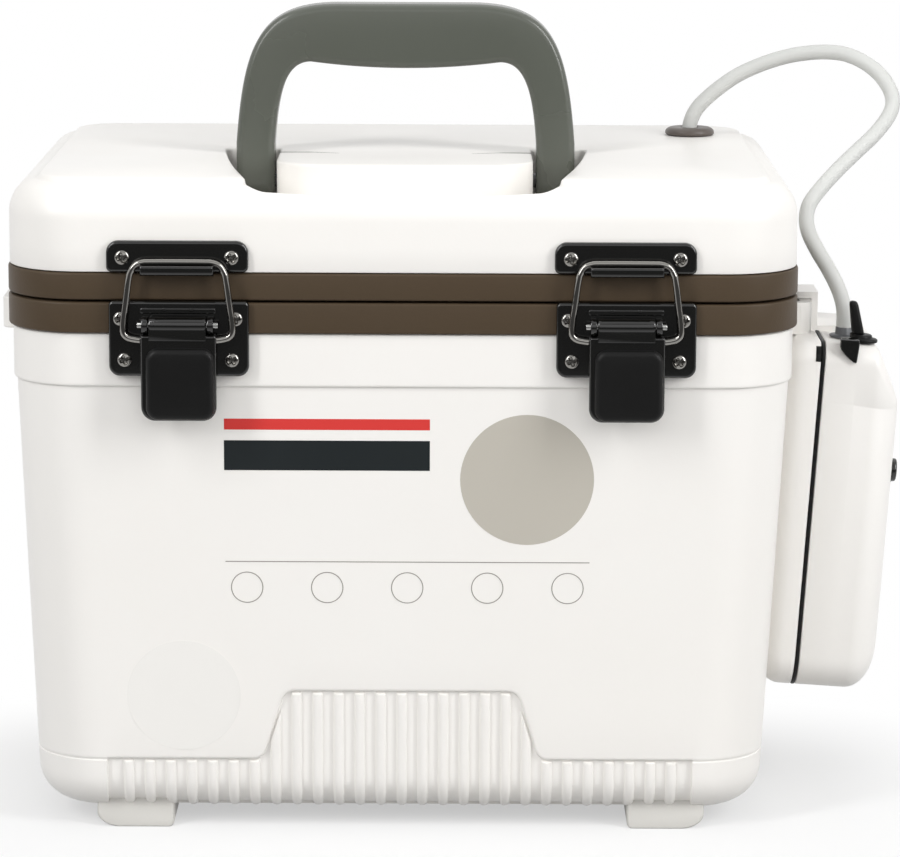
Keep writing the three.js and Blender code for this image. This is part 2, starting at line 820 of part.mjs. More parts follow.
// A rubber grommet with a sleeve that carries the air line right through the lid
function makeGrommet() {
  const topZ = plateauZ + seatGap + grommetFlange;
  const bottomZ = lidBottomZ - plugDrop;
  const profile = [
    [0, bottomZ], [sleeveRadius, bottomZ], [sleeveRadius, plateauZ + seatGap],
    [grommetRadius, plateauZ + seatGap], [grommetRadius, topZ - grommetFlange / 2],
    [grommetRadius - grommetFlange / 2, topZ], [0, topZ],
  ].map((point) => new THREE.Vector2(...point));
  const body = solidOf(new THREE.LatheGeometry(profile, roundSides).rotateX(Math.PI / 2));
  const socket = post(sleeveBore, topZ - sleeveSocket, topZ + overrun, 0, 0);
  const throat = post(sleeveThroat, bottomZ - overrun, topZ, 0, 0, pinSides);
  return body.subtract(socket).subtract(throat).translate([grommetX, grommetY, 0]);
}

// Carry handle: its right half's outline, drawn from the grip's middle round to the top
function handleShape() {
  const top = handleRise;
  const inner = handleHalf - handleArm;
  const gripZ = top - gripDepth;
  const bowZ = gripZ + gripBow;
  const shape = new THREE.Shape();
  shape.moveTo(0, gripZ);
  shape.quadraticCurveTo(inner / 2, gripZ, inner - handleArm * archEndShare, bowZ);
  shape.bezierCurveTo(
    inner - handleArm * archHeadShare,
    bowZ,
    inner - handleArm * archSideShare,
    gripZ - handleArm * archFootShare,
    inner,
    gripZ - handleArm - handleArm,
  );
  shape.lineTo(inner, 0);
  shape.lineTo(handleHalf, 0);
  shape.lineTo(handleHalf, handleArm);
  shape.bezierCurveTo(
    handleHalf - handleArm * shoulderSideShare,
    top - handleArm,
    handleHalf - handleArm * shoulderTopShare,
    top,
    inner / 2,
    top,
  );
  shape.lineTo(0, top);
  const right = shape.getPoints(cornerSteps + 1);
  const left = right.slice(1, -1).reverse().map((point) => new THREE.Vector2(-point.x, point.y));
  return shapeOf([...right, ...left]);
}

// The arch has eased edges and a round end at each pin
function makeHandle() {
  const inner = handleHalf - handleArm;
  const half = handleThickness / 2;
  const arch = new THREE.ExtrudeGeometry(handleShape(), {
    depth: handleThickness - handleEdge - handleEdge,
    bevelThickness: handleEdge,
    bevelSize: handleEdge,
    bevelOffset: -handleEdge,
    bevelSegments: handleEdgeSteps,
  });
  const solid = solidOf(arch.rotateX(Math.PI / 2).translate(0, half - handleEdge, 0));
  const above = box(
    -handleHalf - overrun,
    handleHalf + overrun,
    -half - overrun,
    half + overrun,
    0,
    handleRise + overrun,
  );
  const ends = [-1, 1].flatMap((side) => {
    const reach = [side * inner, side * handleHalf];
    const from = Math.min(...reach);
    const to = Math.max(...reach);
    return [
      rodAlongX(half, from, to, 0, 0, roundSides),
      box(from, to, -half, half, 0, handleEdge + handleEdge),
    ];
  });
  const bores = rodAlongX(handlePinRadius + runningGap, -handleHalf - overrun, handleHalf + overrun, 0, 0);
  return unite([solid.intersect(above), ...ends]).subtract(bores);
}

// Latch: base plate with two ears, on the tub
function plateShape(width, fromZ, toZ, corner) {
  const middleZ = (fromZ + toZ) / 2;
  return shapeOf(roundedOutline(width / 2, (toZ - fromZ) / 2, corner, edgeSteps)
    .map((point) => new THREE.Vector2(point.x, point.y + middleZ)));
}

function makeLatchBase() {
  const bottomZ = rimZ - plateHeight;
  const backY = latchFrontY + plateThickness;
  const plateOutline = plateShape(plateWidth, bottomZ, rimZ, plateCorner);
  const plate = frontal(plateOutline, latchFrontY, backY);
  const collarY = -(bandHalfY - collarSetBack + seatGap);
  const step = frontal(plateOutline, latchFrontY + plateThickness / 2, collarY)
    .intersect(box(-plateWidth, plateWidth, latchFrontY, 0, 0, shellTopZ - seatGap));
  const ears = [-1, 1].flatMap((side) => {
    const ends = [side * earInner, side * (earInner + earThickness)];
    const from = Math.min(...ends);
    const to = Math.max(...ends);
    return [
      rodAlongX(leverKnuckle, from, to, leverPivotY, leverPivotZ, roundSides),
      box(from, to, leverPivotY, backY, leverPivotZ - leverKnuckle, leverPivotZ + leverKnuckle),
    ];
  });
  const bead = box(
    -earInner,
    earInner,
    latchFrontY - plateThickness / 2,
    backY,
    leverPivotZ + leverKnuckle + plateThickness / 2,
    rimZ - plateThickness / 2,
  );
  const bore = rodAlongX(latchPinRadius + seatGap, -latchPinHalf, latchPinHalf, leverPivotY, leverPivotZ);
  return unite([plate, step, bead, ...ears]).subtract(bore);
}

function makeLatchCatch() {
  const backY = -(bandHalfY - lidSetBack + seatGap);
  const frontY = backY - plateThickness;
  const topZ = catchZ + catchHeight;
  const plate = frontal(plateShape(plateWidth, catchZ, topZ, plateCorner), frontY, backY);
  const lipY = latchFrontY - catchReach + plateThickness;
  const hook = [
    [backY, catchZ], [lipY, catchZ], [lipY, catchFloorZ + catchLipHeight],
    [lipY + catchLipThickness, catchFloorZ + catchLipHeight], [lipY + catchLipFootThickness, catchFloorZ],
    [backY, catchFloorZ],
  ];
  return plate.add(sideways(shapeOf(hook), -catchHalf, catchHalf));
}

// Lever: a barrel on the pin, a flat plate with two side flanges that hold the bail's ends
function makeLatchLever() {
  const topZ = -leverShoulder;
  const drawnIn = leverCorner * leverCornerShare;
  const outline = shapeOf([
    [-leverHalf, topZ], [-leverHalf, -leverLength + leverCorner],
    [-leverHalf + drawnIn, -leverLength + drawnIn],
    [-leverHalf + leverCorner, -leverLength], [leverHalf - leverCorner, -leverLength],
    [leverHalf - drawnIn, -leverLength + drawnIn],
    [leverHalf, -leverLength + leverCorner], [leverHalf, topZ],
  ]);
  const frontY = -leverPlate;
  const plate = frontal(outline, frontY, 0);
  const barrelHalf = earInner - runningGap;
  const barrel = rodAlongX(leverKnuckle, -barrelHalf, barrelHalf, 0, 0, roundSides);
  const web = box(-barrelHalf, barrelHalf, frontY, 0, -leverShoulder - overrun, 0);
  const flanges = [-1, 1].map((side) => {
    const ends = [side * (leverHalf - leverFlangeThickness), side * leverHalf];
    return box(
      Math.min(...ends),
      Math.max(...ends),
      -leverPlate / 2,
      bailPivotInset + leverFlangeReach,
      -leverLength / 2,
      topZ,
    );
  });
  const pinBore = rodAlongX(latchPinRadius + runningGap, -leverHalf, leverHalf, 0, 0);
  const bailBore = rodAlongX(
    bailWire / 2 + runningGap,
    -leverHalf - overrun,
    leverHalf + overrun,
    bailPivotInset,
    -bailPivotDrop,
  );
  const earSweep = [-1, 1].map((side) => {
    const ends = [side * (earInner - runningGap), side * (leverHalf + overrun)];
    return rodAlongX(leverKnuckle + runningGap, Math.min(...ends), Math.max(...ends), 0, 0, roundSides);
  });
  return unite([plate, barrel, web, ...flanges]).subtract(unite([pinBore, bailBore, ...earSweep]));
}

function makeGripPad() {
  const backY = -leverPlate - seatGap;
  const middleZ = -leverLength + padLength / 2;
  const section = (inset, y) => roundedOutline(
    padHalf - inset,
    padLength / 2 - inset,
    leverCorner - inset / 2,
    edgeSteps,
  ).map((point) => new THREE.Vector3(point.x, y, point.y + middleZ));
  return loft([
    section(0, backY), section(0, backY - padThickness + padEdge), section(padEdge, backY - padThickness),
  ]);
}

// Bail: one wire, from one lever flange up, over the catch and down to the other
function makeBail() {
  const barRise = bailBarZ - bailPivotZ;
  const innerEnd = leverHalf - leverFlangeThickness - runningGap;
  const half = [
    [innerEnd, 0, 0], [leverHalf + bailWire / 2, 0, 0], [bailFootHalf - bailCorner / 4, 0, bailCorner / 4],
    [bailFootHalf, 0, bailCorner], [(bailFootHalf + bailTopHalf + bailWire) / 2, 0, barRise / 2],
    [bailTopHalf + bailWire, 0, barRise - bailShoulderDrop],
    [bailTopHalf + bailWire / 2, 0, barRise - bailCorner / 4], [bailTopHalf - bailWire, 0, barRise],
  ];
  const mirrored = half.map(([x, y, z]) => [-x, y, z]).reverse();
  return tubeAlong([...half, ...mirrored], bailWire / 2, bailSides, bailSteps);
}

// Hinge leaves at the back
function makeHingeTubLeaf() {
  const backY = bandHalfY + seatGap;
  const knuckleBottomZ = hingeZ - hingeKnuckle - seatGap;
  const bottomZ = knuckleBottomZ - hingeLeaf;
  const plate = box(-hingeHalf, hingeHalf, backY, backY + hingePlate, bottomZ, hingeZ);
  const collarY = bandHalfY - collarSetBack + seatGap;
  const step = box(-hingeHalf, hingeHalf, collarY, backY + hingePlate / 2, bottomZ, shellTopZ - seatGap);
  const knuckles = rodAlongX(hingeKnuckle, -hingeHalf, hingeHalf, hingeY, hingeZ, roundSides);
  const middle = box(
    -hingeMiddleHalf - runningGap,
    hingeMiddleHalf + runningGap,
    backY - overrun,
    hingeY + hingeKnuckle + overrun,
    knuckleBottomZ,
    hingeZ + hingeKnuckle + overrun,
  );
  const bore = rodAlongX(hingePinRadius + seatGap, -hingeHalf - overrun, hingeHalf + overrun, hingeY, hingeZ);
  return unite([plate, step, knuckles]).subtract(middle).subtract(bore);
}

function makeHingeLidLeaf() {
  const backY = bandHalfY + seatGap;
  const plateBottomZ = hingeZ + hingeKnuckle + runningGap;
  const topZ = plateBottomZ + hingeLeaf;
  const plate = box(-hingeHalf, hingeHalf, backY, backY + hingePlate, plateBottomZ, topZ);
  const shellY = bandHalfY - lidSetBack + seatGap;
  const step = box(-hingeHalf, hingeHalf, shellY, backY + hingePlate / 2, lidShellZ + seatGap, topZ);
  const knuckle = rodAlongX(hingeKnuckle, -hingeMiddleHalf, hingeMiddleHalf, hingeY, hingeZ, roundSides);
  const tab = box(
    -hingeMiddleHalf,
    hingeMiddleHalf,
    backY,
    backY + hingePlate,
    hingeZ,
    plateBottomZ + overrun,
  );
  const bore = rodAlongX(hingePinRadius + runningGap, -hingeHalf, hingeHalf, hingeY, hingeZ);
  return unite([plate, step, knuckle, tab]).subtract(bore);
}

// Pump case halves: outlines in y and z with tighter corners at the top, lofted along x
function pumpSection(inset, x) {
  const [upper, lower] = [pumpTopCorner, pumpFootCorner].map((corner) => (
    roundedOutline(pumpHalfWidth - inset, pumpHalfHeight - inset, Math.max(corner - inset, pumpWall))
  ));
  return upper.map((point, at) => {
    const onOutline = point.y > 0 ? point : lower[at];
    return new THREE.Vector3(x, onOutline.x, onOutline.y);
  });
}

function pumpForm(fromX, toX, roundIn, roundDeep, inset) {
  const direction = Math.sign(toX - fromX);
  const sections = [pumpSection(inset, fromX)];
  const startX = toX - direction * roundDeep;
  for (let step = 0; step <= edgeSteps + 1; step += 1) {
    const angle = step / (edgeSteps + 1) * Math.PI / 2;
    sections.push(pumpSection(
      inset + roundIn * (1 - Math.cos(angle)),
      startX + direction * roundDeep * Math.sin(angle),
    ));
  }
  return loft(sections);
}

function makePumpBackCase() {
  const seamX = -pumpGasketThickness / 2;
  const outside = pumpForm(seamX, -pumpBackDepth, pumpBackRound, pumpBackRound, 0);
  const inside = pumpForm(
    seamX + overrun,
    -pumpBackDepth + pumpWall,
    pumpBackRound - pumpWall,
    pumpBackRound - pumpWall,
    pumpWall,
  );
  return outside.subtract(inside);
}

// The front case slants off in one plane, from its flat top to its face
function slantedOff(solid, inset) {
  const fall = new THREE.Vector2(pumpSlantDrop, pumpFrontDepth - pumpFlatTop).normalize();
  const reach = fall.dot(new THREE.Vector2(pumpFlatTop, pumpHalfHeight));
  return solid.trimByPlane([-fall.x, 0, -fall.y], inset - reach);
}

function makePumpFrontCase() {
  const seamX = pumpGasketThickness / 2;
  const outside = pumpForm(seamX, pumpFrontDepth, pumpFrontRoundIn, pumpFrontRoundDeep, 0);
  const inside = pumpForm(
    seamX - overrun,
    pumpFrontDepth - pumpWall,
    pumpFrontRoundIn - pumpWall,
    pumpFrontRoundDeep - pumpWall,
    pumpWall,
  );
  const hollow = slantedOff(inside, pumpWall);
  const barbHole = post(barbThroatRadius + seatGap, 0, pumpHalfHeight + overrun, barbOffset, barbY, pinSides);
  return slantedOff(outside, 0).subtract(hollow).subtract(barbHole);
}

function makePumpGasket() {
  const half = pumpGasketThickness / 2 - seatGap;
  const strip = (inset, reach) => loft([pumpSection(inset, -reach), pumpSection(inset, reach)]);
  return strip(-pumpGasketProud, half).subtract(strip(pumpGasketWidth, half + overrun));
}

function makePumpBarb() {
  const topZ = pumpHalfHeight + seatGap;
  const profile = [
    [0, pumpHalfHeight - pumpWall], [barbThroatRadius, pumpHalfHeight - pumpWall], [barbThroatRadius, topZ],
    [barbFlangeRadius, topZ], [barbFlangeRadius, topZ + barbFlangeHeight],
    [barbCollarRadius, topZ + barbFlangeHeight], [barbCollarRadius, topZ + barbCollarHeight],
    [0, topZ + barbCollarHeight],
  ].map((point) => new THREE.Vector2(...point));
  const body = solidOf(new THREE.LatheGeometry(profile, roundSides).rotateX(Math.PI / 2));
  return body.translate([barbOffset, barbY, 0]);
}

function makeCell() {
  const profile = [
    [0, 0], [cellRadius, 0], [cellRadius, cellLength - cellNubHeight],
    [cellNubRadius, cellLength - cellNubHeight], [cellNubRadius, cellLength], [0, cellLength],
  ].map((point) => new THREE.Vector2(...point));
  return solidOf(new THREE.LatheGeometry(profile, roundSides).rotateX(Math.PI / 2));
}

// Motor and diaphragm block in the upper half of the case
function makeMotor(cellTopZ) {
  const fromZ = cellTopZ + motorGap;
  const block = box(
    -pumpBackDepth + pumpWall + seatGap,
    cellMiddleX + cellRadius / 2,
    -motorBoxHalf,
    motorBoxHalf,
    fromZ,
    fromZ + motorBoxHeight,
  );
  const can = post(motorRadius, fromZ + motorBoxHeight / 2, fromZ + motorLength, cellMiddleX, 0);
  return block.add(can);
}

// Rubber toggle on the pump's shoulder: a stepped seat, and a tapered finger on a ball that rocks in it
function makeToggleSeat() {
  const disc = post(toggleDiscRadius, 0, toggleDiscHeight, 0, 0);
  const ring = post(toggleRingRadius, toggleDiscHeight / 2, toggleRingHeight, 0, 0);
  const hole = post(toggleFingerHalf + runningGap, -overrun, toggleRingHeight + overrun, togglePivotX, 0);
  return disc.add(ring).subtract(hole);
}

function makeToggle() {
  const ball = solidOf(new THREE.SphereGeometry(toggleFingerHalf, pinSides, pinSides - edgeSteps));
  const levels = [[0, 0, toggleFingerHalf], [toggleFingerHeight, -toggleTipLean, toggleTipHalf]];
  const finger = loft(levels.map(([z, leanX, half]) => {
    const outline = roundedOutline(half, half * toggleDepthShare, half * toggleRoundShare, edgeSteps);
    return outline.map((point) => new THREE.Vector3(point.x + leanX, point.y, z));
  }));
  return ball.add(finger);
}

function makeKnob() {
  const profile = [
    [0, 0], [knobRadius, 0], [knobRadius, knobHeight - knobEdge],
    [knobRadius - knobEdge, knobHeight], [0, knobHeight],
  ].map((point) => new THREE.Vector2(...point));
  return solidOf(new THREE.LatheGeometry(profile, roundSides).rotateZ(-Math.PI / 2));
}

// Case latch: a wedge that follows the case's upper front corner and narrows downwards
function makeCaseTab() {
  const centreY = -(pumpHalfWidth - pumpTopCorner);
  const centreZ = pumpHalfHeight - pumpTopCorner;
  const spot = (angle, radius) => [centreY - radius * Math.sin(angle), centreZ + radius * Math.cos(angle)];
  const inner = [];
  const outer = [];
  for (let step = 0; step <= cornerSteps; step += 1) {
    const angle = tabStartAngle + (tabEndAngle - tabStartAngle) * step / cornerSteps;
    inner.push(spot(angle, pumpTopCorner + tabRest));
    outer.unshift(spot(angle, pumpTopCorner + tabThickness));
  }
  const band = sideways(shapeOf([...inner, ...outer]), tabOffset - tabHalf, tabOffset + tabHalf);
  const topZ = pumpHalfHeight + tabThickness;
  const bottomZ = spot(tabEndAngle, pumpTopCorner)[1];
  const narrow = shapeOf([
    [tabOffset - tabHalf, topZ], [tabOffset - tabHalf, topZ - (topZ - bottomZ) * tabSquareShare],
    [tabOffset + tabHalf * tabTipShare, bottomZ], [tabOffset + tabHalf, bottomZ], [tabOffset + tabHalf, topZ],
  ]);
  return band.intersect(frontal(narrow, -pumpHalfWidth - tabThickness, 0));
}

// Hanger: a strip on the pump's top that hooks over the strap lug's bar
function makeHanger() {
  const barOutX = bandHalfX - collarSetBack + seatGap + lugReach;
  const barInX = barOutX - lugBar;
  const riserX = barOutX + seatGap;
  const riserOutX = riserX + clipThickness;
  const footZ = pumpMiddleZ + pumpHalfHeight + seatGap;
  const bridgeZ = shellTopZ + seatGap;
  const tongueX = barInX - clipPlay;
  const outline = shapeOf([
    [riserX, footZ], [riserOutX + clipFootReach, footZ],
    [riserOutX + clipFootReach, footZ + clipThickness], [riserOutX, footZ + clipThickness],
    [riserOutX, bridgeZ + clipThickness], [tongueX - clipThickness, bridgeZ + clipThickness],
    [tongueX - clipThickness, bridgeZ - clipTongueDrop], [tongueX, bridgeZ - clipTongueDrop],
    [tongueX, bridgeZ], [riserX, bridgeZ],
  ]);
  return frontal(outline, clipY - clipHalf, clipY + clipHalf);
}

function makeStone() {
  const floorZ = linerFloorZ + seatGap;
  const profile = [
    [0, floorZ], [stoneRadius, floorZ], [stoneRadius, floorZ + stoneHeight],
    [stoneNippleRadius, floorZ + stoneHeight], [stoneNippleRadius, floorZ + stoneHeight + stoneNippleHeight],
    [0, floorZ + stoneHeight + stoneNippleHeight],
  ].map((point) => new THREE.Vector2(...point));
  const body = solidOf(new THREE.LatheGeometry(profile, roundSides).rotateX(Math.PI / 2));
  return body.translate([stoneX, stoneY, 0]);
}

// Materials
function finish(color, roughness, metalness = 0) {
  return new THREE.MeshStandardMaterial({ color, roughness, metalness });
}

const whitePlastic = finish(0xeeece8, 0.35);
const linerPlastic = finish(0xf4f3f0, 0.4);
const foam = finish(0xe8dfc4, 0.9);
const brownRubber = finish(0x584d41, 0.55);
const handlePlastic = finish(0x62655e, 0.35);
const blackPlastic = finish(0x232422, 0.3);
const blackRubber = finish(0x1c1c1c, 0.6);
const greyRubber = finish(0x6e645a, 0.6);
const steel = finish(0xc8c8c6, 0.15, 1);
const hoseVinyl = finish(0xe1e1de, 0.3);
const barbPlastic = finish(0x6e7073, 0.45);
const cellJacket = finish(0x3a5a86, 0.4);
const motorSteel = finish(0x8a8c8e, 0.35, 1);
const stoneGrain = finish(0x8f98a3, 0.95);

// Assembly
const bucket = new THREE.Group();

function place(parent, name, solid, material, position = [0, 0, 0]) {
  const mesh = new THREE.Mesh(geometryOf(solid), material);
  mesh.name = name;
  mesh.position.set(...position);
  parent.add(mesh);
  return mesh;
}

function placeTub() {
  place(bucket, 'tub_shell', makeTubShell(), whitePlastic);
  place(bucket, 'tub_liner', makeTubLiner(), linerPlastic);
  place(bucket, 'tub_insulation', makeTubInsulation(), foam);
  place(bucket, 'tub_rim_band', makeBand(lowerBandZ, lowerBandHeight), brownRubber);
  [['front', -1], ['rear', 1]].forEach(([end, sideY]) => {
    [['left', -1], ['right', 1]].forEach(([side, sideX]) => {
      place(bucket, `foot_${end}_${side}`, makeFoot(sideX, sideY), whitePlastic);
    });
  });
  place(bucket, 'strap_lug_left', makeStrapLug(-1), whitePlastic);
  place(bucket, 'strap_lug_right', makeStrapLug(1), whitePlastic);
}

function placeLid() {
  place(bucket, 'lid_shell', makeLidShell(), whitePlastic);
  place(bucket, 'lid_insulation', makeLidInsulation(), foam);
  place(bucket, 'lid_liner', makeLidLiner(), linerPlastic);
  place(bucket, 'lid_gasket', makeLidGasket(), greyRubber);
  place(bucket, 'lid_rim_band', makeBand(lidBottomZ, upperBandHeight), brownRubber);
  place(bucket, 'lid_grommet', makeGrommet(), greyRubber);
}

function placeHandle() {
  place(bucket, 'handle', makeHandle(), handlePlastic, [0, handlePivotY, handlePivotZ]);
  [['left', -1], ['right', 1]].forEach(([name, side]) => {
    place(bucket, `handle_pin_${name}`, handlePin(side, 0), steel);
  });
}

function placeLatches() {
  [['left', -1], ['right', 1]].forEach(([name, side]) => {
    const x = side * latchX;
    place(bucket, `latch_base_${name}`, makeLatchBase(), blackPlastic, [x, 0, 0]);
    place(bucket, `latch_catch_${name}`, makeLatchCatch(), blackPlastic, [x, 0, 0]);
    const pin = rodAlongX(latchPinRadius, -latchPinHalf, latchPinHalf, leverPivotY, leverPivotZ);
    place(bucket, `latch_pin_${name}`, pin, steel, [x, 0, 0]);
    const pivot = [x, leverPivotY, leverPivotZ];
    place(bucket, `latch_lever_${name}`, makeLatchLever(), blackPlastic, pivot);
    place(bucket, `latch_pad_${name}`, makeGripPad(), blackRubber, pivot);
    place(bucket, `latch_bail_${name}`, makeBail(), steel, [x, bailPivotY, bailPivotZ]);
  });
}

function placeHinges() {
  [['left', -1], ['right', 1]].forEach(([name, side]) => {
    const x = side * latchX;
    place(bucket, `hinge_tub_leaf_${name}`, makeHingeTubLeaf(), whitePlastic, [x, 0, 0]);
    place(bucket, `hinge_lid_leaf_${name}`, makeHingeLidLeaf(), whitePlastic, [x, 0, 0]);
    const pin = rodAlongX(hingePinRadius, -hingeHalf, hingeHalf, hingeY, hingeZ);
    place(bucket, `hinge_pin_${name}`, pin, steel, [x, 0, 0]);
  });
}

function placePump() {
  const pump = new THREE.Group();
  pump.position.set(pumpSeamX, pumpY, pumpMiddleZ);
  pump.rotation.y = pumpLean;
  bucket.add(pump);
  place(pump, 'pump_back_case', makePumpBackCase(), whitePlastic);
  place(pump, 'pump_front_case', makePumpFrontCase(), whitePlastic);
  place(pump, 'pump_gasket', makePumpGasket(), blackRubber);
  place(pump, 'pump_hose_barb', makePumpBarb(), barbPlastic);
  const cellZ = -pumpHalfHeight + pumpWall + cellRest;
  place(pump, 'pump_cell_front', makeCell(), cellJacket, [cellMiddleX, -cellSpread, cellZ]);
  place(pump, 'pump_cell_rear', makeCell(), cellJacket, [cellMiddleX, cellSpread, cellZ]);
  place(pump, 'pump_motor', makeMotor(cellZ + cellLength), motorSteel);
  place(pump, 'pump_case_latch', makeCaseTab(), blackPlastic);
  const toggleZ = pumpHalfHeight + seatGap;
  place(pump, 'pump_toggle_seat', makeToggleSeat(), blackRubber, [toggleOffset, toggleY, toggleZ]);
  const togglePivot = [toggleOffset + togglePivotX, toggleY, toggleZ + togglePivotRise];
  place(pump, 'pump_toggle', makeToggle(), blackRubber, togglePivot);
  place(pump, 'pump_knob', makeKnob(), blackPlastic, [pumpFrontDepth + seatGap, knobY, knobRise]);
  place(bucket, 'pump_hanger', makeHanger(), whitePlastic);
}

function placeAirLine() {
  place(bucket, 'air_hose', tubeAlong(hoseRoute, hoseRadius, hoseSides, hoseSteps), hoseVinyl);
  place(bucket, 'inner_hose', tubeAlong(innerHoseRoute, hoseRadius, hoseSides, innerHoseSteps), hoseVinyl);
  place(bucket, 'air_stone', makeStone(), stoneGrain);
}

placeTub();
placeLid();
placeHandle();
placeLatches();
placeHinges();
placePump();
placeAirLine();

// The middle of everything but the hose, as seen from above: lugs and pump in x, latches and hinges in y
const lugOutX = bandHalfX - collarSetBack + seatGap + lugReach;
const knobOutX = pumpSeamX + (pumpFrontDepth + seatGap + knobHeight) * Math.cos(pumpLean)
  + (knobRise + knobRadius) * Math.sin(pumpLean);
const catchFrontY = latchFrontY - catchReach + plateThickness;
const padFrontY = leverPivotY - leverPlate - seatGap - padThickness;
const frontY = Math.min(catchFrontY, padFrontY);
const hingeBackY = hingeY + hingeKnuckle;
bucket.position.set((lugOutX - knobOutX) / 2, -(frontY + hingeBackY) / 2, 0);

export default bucket;
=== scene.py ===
# %% [markdown]
# # Dressing an aerated bait bucket
#
# The solids of the box, its lid, handle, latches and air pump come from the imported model.
# This lesson gives each of them the surface that the real thing has, and makes the rounded and
# shaped pieces again with finer meshes, in the same places, so that every joint still works.

# %% Load the frame
import json
import math

import bmesh
import bpy
from mathutils import Euler, Matrix, Vector
from mathutils.geometry import delaunay_2d_cdt


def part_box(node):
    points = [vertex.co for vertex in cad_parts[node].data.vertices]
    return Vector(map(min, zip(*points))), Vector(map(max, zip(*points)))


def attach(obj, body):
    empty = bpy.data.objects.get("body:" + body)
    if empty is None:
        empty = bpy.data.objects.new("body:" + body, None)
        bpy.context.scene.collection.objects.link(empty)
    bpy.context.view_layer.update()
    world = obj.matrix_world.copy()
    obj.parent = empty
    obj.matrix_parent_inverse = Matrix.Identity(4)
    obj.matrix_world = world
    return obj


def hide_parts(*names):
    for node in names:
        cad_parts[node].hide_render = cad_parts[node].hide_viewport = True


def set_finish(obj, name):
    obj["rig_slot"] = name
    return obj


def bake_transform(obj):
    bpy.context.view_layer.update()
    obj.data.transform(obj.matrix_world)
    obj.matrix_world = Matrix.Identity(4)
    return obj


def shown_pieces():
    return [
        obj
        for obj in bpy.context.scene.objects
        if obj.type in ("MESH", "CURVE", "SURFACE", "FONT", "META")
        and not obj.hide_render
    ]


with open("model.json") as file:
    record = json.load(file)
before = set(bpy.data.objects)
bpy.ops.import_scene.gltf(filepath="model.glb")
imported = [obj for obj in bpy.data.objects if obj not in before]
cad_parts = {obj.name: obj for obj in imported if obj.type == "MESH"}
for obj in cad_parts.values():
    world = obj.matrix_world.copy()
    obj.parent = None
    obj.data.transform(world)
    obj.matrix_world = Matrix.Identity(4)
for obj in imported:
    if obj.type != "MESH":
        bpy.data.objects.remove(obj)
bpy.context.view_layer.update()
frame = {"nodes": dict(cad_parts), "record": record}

print("solids in the frame:", len(frame["nodes"]))

# %% [markdown]
# Every length in this lesson is in millimetres, measured from the middle of the box and up from
# the floor, because that is how a maker would note them. One helper turns such a place into
# metres in the frame that the solids use.

# %% Places
MM = 0.001
band_low, band_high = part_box("tub_rim_band")
box_middle = (band_low + band_high) / 2


def at(x, y, z):
    return Vector((box_middle.x + x * MM, box_middle.y + y * MM, z * MM))


print("middle of the box in the frame:", [round(value, 5) for value in at(0, 0, 0)])

# %% [markdown]
# ## Camera
#
# The photograph was taken with a long lens, a little above the lid and almost square to the front.
# The place and tilt below were found by matching the measured corners of the box.

# %% Camera
look_down, roll = 10.69, 0.25
camera_data = bpy.data.cameras.new("front_camera")
camera_data.sensor_fit = "HORIZONTAL"
camera_data.sensor_width = 36
camera_data.lens = 156
camera = bpy.data.objects.new("front_camera", camera_data)
camera.location = at(17.9, -1534.6, 428.8)
camera_tilt = Euler((math.radians(90 - look_down), 0, 0)).to_matrix()
camera.rotation_euler = (camera_tilt @ Matrix.Rotation(math.radians(roll), 3, "Z")).to_euler()
bpy.context.scene.collection.objects.link(camera)
bpy.context.scene.camera = camera
bpy.context.scene.view_settings.view_transform = "Standard"
print("camera looks down by", look_down, "degrees from", round(camera.location.z, 3), "m up")

# %% [markdown]
# ## Making and naming pieces
#
# Nearly every piece is a skin over rings: outlines of equally many points, set one beyond the
# other, with faces between them. A piece is then dressed: it says what it is made of, which solid
# it stands for and which body carries it.

# %% Mesh helpers
def link(name, data):
    piece = bpy.data.objects.new(name, data)
    bpy.context.scene.collection.objects.link(piece)
    return piece


def dressed(piece, slot, node, body):
    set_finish(piece, slot)
    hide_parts(node)
    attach(piece, body)
    return piece


def ease_edges(piece, even_shading=False):
    """Round a piece's sharp edges a little."""
    ease = piece.modifiers.new("eased_edges", "BEVEL")
    ease.width = 0.5 * MM
    ease.segments = 3
    ease.limit_method = "ANGLE"
    ease.angle_limit = math.radians(35)
    ease.harden_normals = even_shading


def full_turn(sides):
    """Angles spread evenly all the way round."""
    return [2 * math.pi * side / sides for side in range(sides)]


def quarter_turn(steps):
    return [step / steps * math.pi / 2 for step in range(steps + 1)]


def mesh_piece(name, points, faces, smooth_below=40, weld=False):
    """A mesh object whose faces are smooth wherever they meet at less than an angle."""
    mesh = bpy.data.meshes.new(name)
    mesh.from_pydata([tuple(point) for point in points], [], faces)
    mesh.validate()
    if weld:
        shape = bmesh.new()
        shape.from_mesh(mesh)
        bmesh.ops.remove_doubles(shape, verts=shape.verts, dist=0.002 * MM)
        bmesh.ops.recalc_face_normals(shape, faces=shape.faces)
        shape.to_mesh(mesh)
        shape.free()
    mesh.shade_smooth()
    mesh.set_sharp_from_angle(angle=math.radians(smooth_below))
    return link(name, mesh)


# %% Skins over rings
def all_points(rings):
    return [point for ring in rings for point in ring]


def strips(rings, closed=False):
    """Faces between rings of equally many points; closed also joins the last ring to the first."""
    count = len(rings[0])
    faces = []
    for ring in range(len(rings) - (0 if closed else 1)):
        here, onward = ring * count, (ring + 1) % len(rings) * count
        for index in range(count):
            beside = (index + 1) % count
            faces.append((here + index, here + beside, onward + beside, onward + index))
    return faces


def capped(rings):
    """Points and faces of a body over rings, with a face over each end."""
    points, count = all_points(rings), len(rings[0])
    ends = [tuple(reversed(range(count))), tuple(range(len(points) - count, len(points)))]
    return points, strips(rings) + ends


def add_faces(points, faces, more_points, more_faces):
    """Add points, and faces counted among them, to the points and faces gathered so far."""
    first = len(points)
    points += more_points
    faces += [tuple(first + corner for corner in face) for face in more_faces]


